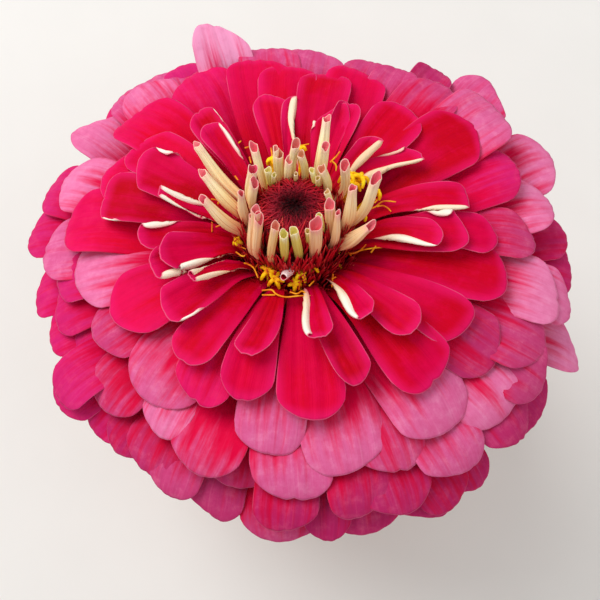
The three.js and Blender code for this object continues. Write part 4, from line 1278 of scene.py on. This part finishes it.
def makeInvolucre():
    material = bractMaterial()
    body = lathe(cup, bract["sides"], along=0.2, across=0, edge=1, seed=0.5)
    settle(body.object("bractCup", material, poles=True), "bract", "involucre")
    tree = ringTree(material)
    for row in range(bract["rows"]):
        piece = bractPiece(row)
        values = {"Piece": piece, "Count": bract["count"] + row, "Phase": row / 2, "Seed": 4 + row}
        made = grown("bracts_%d" % (row + 1), tree, values)
        bpy.data.objects.remove(piece)
        settle(made, "bract", "involucre")
    body = lathe(receptacle, bract["sides"])
    settle(body.object("receptacle", receptacleMaterial(), poles=True), "bract", "ray_florets")


makeInvolucre()
print("involucre is made")


# Stem
soilTop, gap = 92.5, 0.3
stem = {
    "rootRadius": 3.1, "neckRadius": 2.2, "hole": 34, "swell": 0.9, "swellTight": 26, "sides": 28,
    "rings": 150, "hairs": {"Density": 1.6, "Length": 1.1, "Radius": 0.05, "Seed": 5},
}
neck = np.array(bloom["centre"]) + bloomAxis * (cup[0][1] - gap)
stemPoints = np.array([
    (0, 0, soilTop - stem["hole"] + gap), (0, 0, soilTop - 10), (0.5, -1.5, soilTop + 10),
    (1.5, -9, soilTop + 40), (1.5, -19, soilTop + 74), neck - 14 * bloomAxis, neck,
])
leafPairs = [  # height on the stem, azimuth, length, width, slope at the root and at the tip
    (109, 42, 58, 30, 34, -18), (129, -46, 56, 31, 30, -34), (151, 38, 49, 26, 34, -36),
    (173, -50, 42, 20, 38, -30), (193, 44, 32, 14, 44, -12),
]
stemPath = pathThrough(stemPoints, stem["rings"] + 1)


def stemShare(height):
    return float(np.interp(height, stemPath[:, 2], np.linspace(0, 1, len(stemPath))))


def stemTaper(share):
    return stem["rootRadius"] + (stem["neckRadius"] - stem["rootRadius"]) * share


def stemRadius(share):  # swollen where leaves stand
    tight = stem["swellTight"]
    swell = max(math.exp(-(((share - stemShare(pair[0])) * tight) ** 2)) for pair in leafPairs)
    return stemTaper(share) + stem["swell"] * swell


def hairMaterial():
    surface = Surface("paleHair")
    colour = surface.mix(surface.noise(surface.place(), 300, 2), (176, 190, 132), (226, 226, 190))
    return surface.finish(colour, 0.6, gloss=0.3)


def hairTree(material):  # short stiff hairs that stand on a surface
    grow = Growth("standingHairs", Float=("Density", "Length", "Radius"), Int=("Seed",))
    ask = grow.ask
    points, normal = grow.scattered()
    hair = grow.put("GeometryNodeMeshCone", {
        "Vertices": 3, "Side Segments": 1, "Radius Top": 0.0, "Radius Bottom": ask("Radius"),
        "Depth": ask("Length"),
    })
    lean = grow.vector(grow.chance(-0.5, 0.5, 1), grow.chance(-0.5, 0.5, 2), grow.chance(-0.2, 0.8, 3))
    aim = grow.put("ShaderNodeVectorMath", {0: normal, 1: lean}, operation="ADD")
    turn = grow.put("FunctionNodeAlignRotationToVector", {"Vector": aim}, axis="Z")
    return grow.end(grow.copies(points, hair, turn, grow.vector(1, 1, grow.chance(0.5, 1.3, 4))), material)


def stemMaterial():
    surface = Surface("stem")
    up, around = surface.attributes("up", "around")
    ribs = surface.noise(surface.cylinder(around, 3.5, up * 5), 1, 3, 0.5)
    mottle = surface.noise(surface.place(), 160, 3)
    green = ribs.ramp((0.3, 92, 120, 50), (0.5, 120, 148, 70), (0.7, 150, 172, 92))
    colour = surface.mix(mottle.spread(0.45, 0.75, 0, 0.35), green, (130, 96, 62))
    return surface.finish(colour, 0.55, surface.bump(ribs, 0.0006, 0.7), gloss=0.35)


def makeStem():
    share = np.linspace(0, 1, len(stemPath))
    phi = np.linspace(0, 2 * math.pi, stem["sides"], endpoint=False)
    ahead = unit(np.gradient(stemPath, axis=0))
    side = unit(np.array([1, 0, 0]) - ahead * ahead[:, :1])
    front = np.cross(ahead, side)
    radius = np.array([stemRadius(s) for s in share])
    ribs = 1 + 0.035 * np.cos(5 * phi)[None, :] + 0.02 * np.cos(3 * phi + 2)[None, :]
    radii = (radius[:, None] * ribs)[..., None]
    ring = side[:, None, :] * np.cos(phi)[None, :, None] + front[:, None, :] * np.sin(phi)[None, :, None]
    caps = [np.repeat(stemPath[k][None, None, :], stem["sides"], axis=1) for k in (0, -1)]
    points = np.concatenate([caps[0], stemPath[:, None, :] + ring * radii, caps[1]])
    ups = np.concatenate([[0], share, [1]])[:, None]
    parts = Parts()
    skin(parts, points, up=ups, around=(phi / 2 / math.pi)[None, :])
    made = parts.object("stem", stemMaterial(), world=upright, poles=True)
    base = copyOf(made, "stemHairs")
    hairs = grown("stemHairs", hairTree(hairMaterial()), stem["hairs"], base=base, world=upright)
    settle(made, "stem", "stem")
    settle(hairs, "stem")


makeStem()
print("stem is made")


# Leaves
leaf = {
    "columns": 33, "rows": 46, "thickness": 0.5, "quilt": 0.32, "vein": 0.42, "smallVein": 0.16, "wave": 0.9,
    "hairs": {"Density": 0.35, "Length": 0.55, "Radius": 0.045},
    "outline": [
        (0, 0.42), (0.05, 0.62), (0.12, 0.84), (0.2, 0.94), (0.32, 1), (0.45, 0.96), (0.6, 0.8), (0.75, 0.55),
        (0.88, 0.28), (1, 0.03),
    ],
}


def veinLines(u, s):  # how near each point is to a vein: a middle or long side one, and a small one
    middle = np.exp(-((u / 0.045) ** 2))
    long = np.exp(-(((np.abs(u) - 0.42 * (1 - 0.35 * s)) / 0.045) ** 2))
    long = long * smoothstep(s, 0.02, 0.12) * (1 - smoothstep(s, 0.7, 0.95))
    slant = (s * 11 - np.abs(u) * 2.6) % 1
    small = np.exp(-(((slant - 0.5) / 0.09) ** 2))
    small = small * smoothstep(np.abs(u), 0.06, 0.16) * smoothstep(s, 0.06, 0.2)
    return np.maximum(middle, 0.8 * long), small


def leafRelief(index):
    phase = index * 1.7

    def relief(u, s):
        main, small = veinLines(u, s)
        quilt = np.sin(s * 34 + np.abs(u) * 8 + phase) * np.sin(u * 9 + phase)
        quilt = quilt * smoothstep(np.abs(u), 0.05, 0.3)
        wave = np.sin(s * 12 + phase + np.sign(u) * 1.3) * np.abs(u) ** 3 * smoothstep(s, 0.05, 0.3)
        veins = -leaf["vein"] * main - leaf["smallVein"] * small
        return veins + leaf["quilt"] * quilt * 0.6 + leaf["wave"] * wave
    return relief


def leafMaterial():
    surface = Surface("leaf")
    across, along, under, vein, seed = surface.attributes("across", "along", "under", "vein", "seed")
    patches = surface.noise(surface.vector(across * 3, along * 6, seed * 50), 1.2, 4, 0.6)
    grain = surface.noise(surface.place(), 900, 3, 0.6)
    green = (patches * 0.7 + grain * 0.3).ramp((0.3, 46, 84, 26), (0.5, 66, 112, 38), (0.7, 92, 138, 52))
    green = surface.mix(along.spread(0.75, 1.02, 0, 0.45), green, (132, 140, 50))
    green = surface.mix(vein * 0.75, green, (150, 176, 96))
    pale = patches.ramp((0.3, 104, 138, 78), (0.7, 132, 160, 100))
    pale = surface.mix(vein * 0.7, pale, (176, 192, 132))
    colour = surface.mix(under.spread(0.4, 0.6), green, pale)
    return surface.finish(colour, 0.52, surface.bump(grain * 0.6 - vein * 0.5, 0.0005, 0.6), gloss=0.4)


def leafBlade(name, index, pair, turn, material):
    height, azimuth, length, width, riseFrom, fallTo = pair
    share = stemShare(height)
    origin = stemPath[round(share * stem["rings"])]
    bend = drift(index, 2)
    start = stemTaper(share) + stem["swell"] + gap
    rise, fall = math.radians(riseFrom + 4 * bend), math.radians(fallTo + 8 * bend)
    reach = length * (0.97 + 0.03 * bend)
    middle = (rise + fall) / 2
    tip = (start + reach * math.cos(middle) * 0.97, reach * math.sin(middle) * 0.97)
    across = np.linspace(-1, 1, leaf["columns"])
    shape = {
        "across": np.sign(across) * np.abs(across) ** 0.9, "up": np.linspace(0, 1, leaf["rows"]) ** 1.1,
        "tipRound": 0.02, "tipPower": 2, "length": length, "thickness": leaf["thickness"],
        "relief": leafRelief(index), "twist": 0.35 * drift(index, 3),
    }
    main, small = veinLines(*np.meshgrid(shape["across"], shape["up"]))
    parts = Parts()
    blade(
        parts, arch((start, 0), rise, tip, fall), math.radians(azimuth) + turn,
        lambda s: width / 2 * smoothAlong(leaf["outline"], s), lambda s: 0.95 - 0.5 * s, shape,
        place=lambda points: points + origin, vein=np.maximum(main, 0.55 * small), seed=(index * 0.618) % 1,
    )
    return parts.object(name, material, world=upright)


def makeLeaves():
    material, hairs = leafMaterial(), hairTree(hairMaterial())
    for index in range(2 * len(leafPairs)):
        number, second = divmod(index, 2)
        label = "%d_%s" % (number + 1, "ab"[second])
        made = leafBlade("leafBlade_" + label, index, leafPairs[number], math.pi * second, material)
        values = {**leaf["hairs"], "Seed": 30 + index}
        bristle = grown("leafHairs_" + label, hairs, values, base=copyOf(made, "hairs"), world=upright)
        settle(made, "leaf", "leaf_" + label)
        settle(bristle, "leaf")


makeLeaves()
print("leaves are made")


# Soil
soil = {
    "crown": soilTop, "edge": 90, "floor": 6.3, "hole": 4.3, "holeFloor": 58.5, "wallGap": 0.4,
    "rings": 30, "sides": 120,
    "crumbs": {
        "soilCrumbs": {"Density": 0.34, "Smallest": 0.45, "Largest": 1.3, "Finish": 1, "Seed": 17},
        "soilLumps": {"Density": 0.05, "Smallest": 1, "Largest": 1.9, "Finish": 2, "Seed": 5},
    },
}
pot = {
    "height": 104, "rim": 61, "rimHeight": 23, "step": 3.5, "base": 41, "wall": 5, "floor": 6, "sides": 160,
    "corner": 1.7, "flare": 1, "run": 2.5, "drains": 3, "drainAt": 20, "drainRadius": 5,
}


def potInside(z):
    lip = pot["height"] - pot["rimHeight"]
    return pot["base"] + (pot["rim"] - pot["step"] - pot["base"]) * z / lip - pot["wall"]


def lumpy(x, y):
    large = np.sin(0.62 * x + 1.3) * np.sin(0.57 * y) + 0.6 * np.sin(0.31 * x - 0.43 * y)
    fine = np.sin(1.7 * x + 0.8 * y) * np.sin(1.9 * y - 0.5 * x) + 0.5 * np.sin(3.1 * x) * np.sin(2.7 * y + 1)
    return 0.7 * large + 0.35 * fine


def crumbTree(material):  # grains on what lies open at the top
    grow = Growth("soilCrumbs", Float=("Density", "Smallest", "Largest"), Int=("Finish", "Seed"))
    ask = grow.ask
    faceUp = grow.split(grow.put("GeometryNodeInputNormal"))[2]
    height = grow.position()[2]
    above = {0: faceUp.apply("GREATER_THAN", 0.3), 1: height.apply("GREATER_THAN", 80)}
    points, normal = grow.scattered(grow.put("FunctionNodeBooleanMath", above, operation="AND"))
    grain = grow.put("GeometryNodeMeshIcoSphere", {"Radius": 1.0, "Subdivisions": ask("Finish")})
    rough = grow.put("ShaderNodeTexNoise", {"Scale": 1.1, "Detail": 1.0}, output="Color")
    push = grow.put("ShaderNodeVectorMath", {0: rough, 1: (0.5, 0.5, 0.5)}, operation="SUBTRACT")
    grain = grow.put("GeometryNodeSetPosition", {"Geometry": grain, "Offset": push})
    size = (grow.chance(0, 1, 1) ** 2.6).between(ask("Smallest"), ask("Largest"))
    turn = grow.turn(*(grow.chance(0, 6.28, step) for step in (2, 3, 4)))
    crumbs = grow.copies(points, grain, turn, grow.vector(size, size * 0.8, size * 0.7))
    return grow.end(grow.remember(crumbs, "seed", grow.chance(0, 1, 6), "INSTANCE"), material)


def soilMaterial():
    surface = Surface("pottingSoil")
    where = surface.place()
    coarse, fine = surface.noise(where, 120, 4, 0.65), surface.noise(where, 900, 3, 0.7)
    colour = (coarse * 0.6 + surface.attribute("seed") * 0.4).ramp(
        (0.2, 34, 22, 16), (0.45, 58, 40, 28), (0.65, 84, 60, 42), (0.9, 116, 88, 62),
    )
    return surface.finish(colour, 0.9, surface.bump(fine, 0.0008, 0.8), gloss=0.2)


def makeSoil():
    material = soilMaterial()
    wall, sides = potInside(soil["edge"]) - soil["wallGap"], soil["sides"]
    radii = np.linspace(wall, soil["hole"], soil["rings"])
    heights = soil["crown"] + (soil["edge"] - soil["crown"]) * (radii / wall) ** 2
    top = turned(np.stack([radii, heights], axis=-1), sides)
    calm = smoothstep(radii, soil["hole"], soil["hole"] + 4) * (1 - smoothstep(radii, wall - 1.5, wall))
    top[..., 2] += calm[:, None] * lumpy(top[..., 0], top[..., 1])
    low = turned([(0, soil["floor"]), (potInside(soil["floor"]) - soil["wallGap"], soil["floor"])], sides)
    middle = turned([(soil["hole"], soil["holeFloor"]), (0, soil["holeFloor"])], sides)
    parts = Parts()
    skin(parts, np.concatenate([low, top, middle]), seed=0.4)
    made = parts.object("soilBed", material, world=upright, poles=True)
    tree = crumbTree(material)
    for name, values in soil["crumbs"].items():
        settle(grown(name, tree, values, base=copyOf(made, name), world=upright), "soil")
    settle(made, "soil", "soil")


makeSoil()
print("soil is made")


# Pot

def potMaterial():
    surface = Surface("terracotta")
    where = surface.place()
    x, y, z = surface.split(where)
    cloud = surface.noise(where, 14, 5, 0.6)
    speck = surface.noise(where, 700, 3, 0.65)
    rings = surface.noise(surface.vector(x * 3, y * 3, z * 260), 1, 2, 0.5)
    clay = (cloud * 0.75 + speck * 0.25).ramp((0.3, 158, 82, 52), (0.5, 184, 100, 64), (0.7, 204, 124, 84))
    salt = surface.noise(where, 26, 6, 0.7).spread(0.5, 0.72) * z.spread(0.075, 0, 0.75, 1)
    colour = surface.mix(salt * 0.42, clay, (222, 196, 172))
    damp = (z + cloud * 0.012).spread(0.014, 0.004)
    colour = surface.mix(damp * 0.4, colour, (112, 58, 38))
    wear = surface.put("ShaderNodeNewGeometry", output="Pointiness").spread(0.52, 0.56)
    colour = surface.mix(wear * 0.35, colour, (226, 160, 120))
    normal = surface.bump(rings * 0.7 + speck * 0.4, 0.0006, 0.7)
    return surface.finish(colour, cloud.spread(0.3, 0.7, 0.78, 0.92), normal, gloss=0.25)


def rounded(corners, radius, steps=5):  # an outline with each corner turned on a curve
    points = [corners[0]]
    for before, corner, after in zip(corners, corners[1:], corners[2:]):
        a, b, c = (np.array(p, float) for p in (before, corner, after))
        cut = min(radius, 0.45 * np.linalg.norm(a - b), 0.45 * np.linalg.norm(c - b))
        start, end = b + unit(a - b) * cut, b + unit(c - b) * cut
        for k in range(steps + 1):
            t = k / steps
            points.append(tuple(start * (1 - t) ** 2 + 2 * b * t * (1 - t) + end * t * t))
    return points + [corners[-1]]


def potProfile():  # long straight runs are split
    base, rim, floor, height = pot["base"], pot["rim"], pot["floor"], pot["height"]
    lip = height - pot["rimHeight"]
    corners = rounded([
        (0, 0), (base, 0), (potInside(lip) + pot["wall"], lip), (rim, lip + 0.8),
        (rim + pot["flare"], height), (potInside(height), height), (potInside(floor), floor), (0, floor),
    ], pot["corner"])
    profile = []
    for (x, y), (nextX, nextY) in zip(corners, corners[1:]):
        count = max(1, round(math.hypot(nextX - x, nextY - y) / pot["run"]))
        profile += [(x + (nextX - x) * k / count, y + (nextY - y) * k / count) for k in range(count)]
    return profile + [corners[-1]]


def makePot():
    made = lathe(potProfile(), pot["sides"]).object("clayPot", world=upright, poles=True)
    radius, past = pot["drainRadius"], 3
    drill = turned([(0, -past), (radius, -past), (radius, pot["floor"] + past), (0, pot["floor"] + past)], 40)
    drills = Parts()
    for n in range(pot["drains"]):
        angle = 2 * math.pi * n / pot["drains"]
        skin(drills, drill + pot["drainAt"] * np.array([math.cos(angle), math.sin(angle), 0]))
    cutter = drills.object("drills", world=upright, poles=True)
    modifier = made.modifiers.new("drains", "BOOLEAN")
    modifier.object = cutter
    modifier.operation = "DIFFERENCE"
    modifier.solver = "EXACT"
    graph = bpy.context.evaluated_depsgraph_get()
    mesh = bpy.data.meshes.new_from_object(made.evaluated_get(graph))
    made.modifiers.remove(modifier)
    made.data = mesh
    bpy.data.objects.remove(cutter)
    mesh.polygons.foreach_set("use_smooth", np.ones(len(mesh.polygons), bool))
    mesh.materials.clear()
    mesh.materials.append(potMaterial())
    settle(made, "clay", "pot")


makePot()
print("pot is made")


print("done")
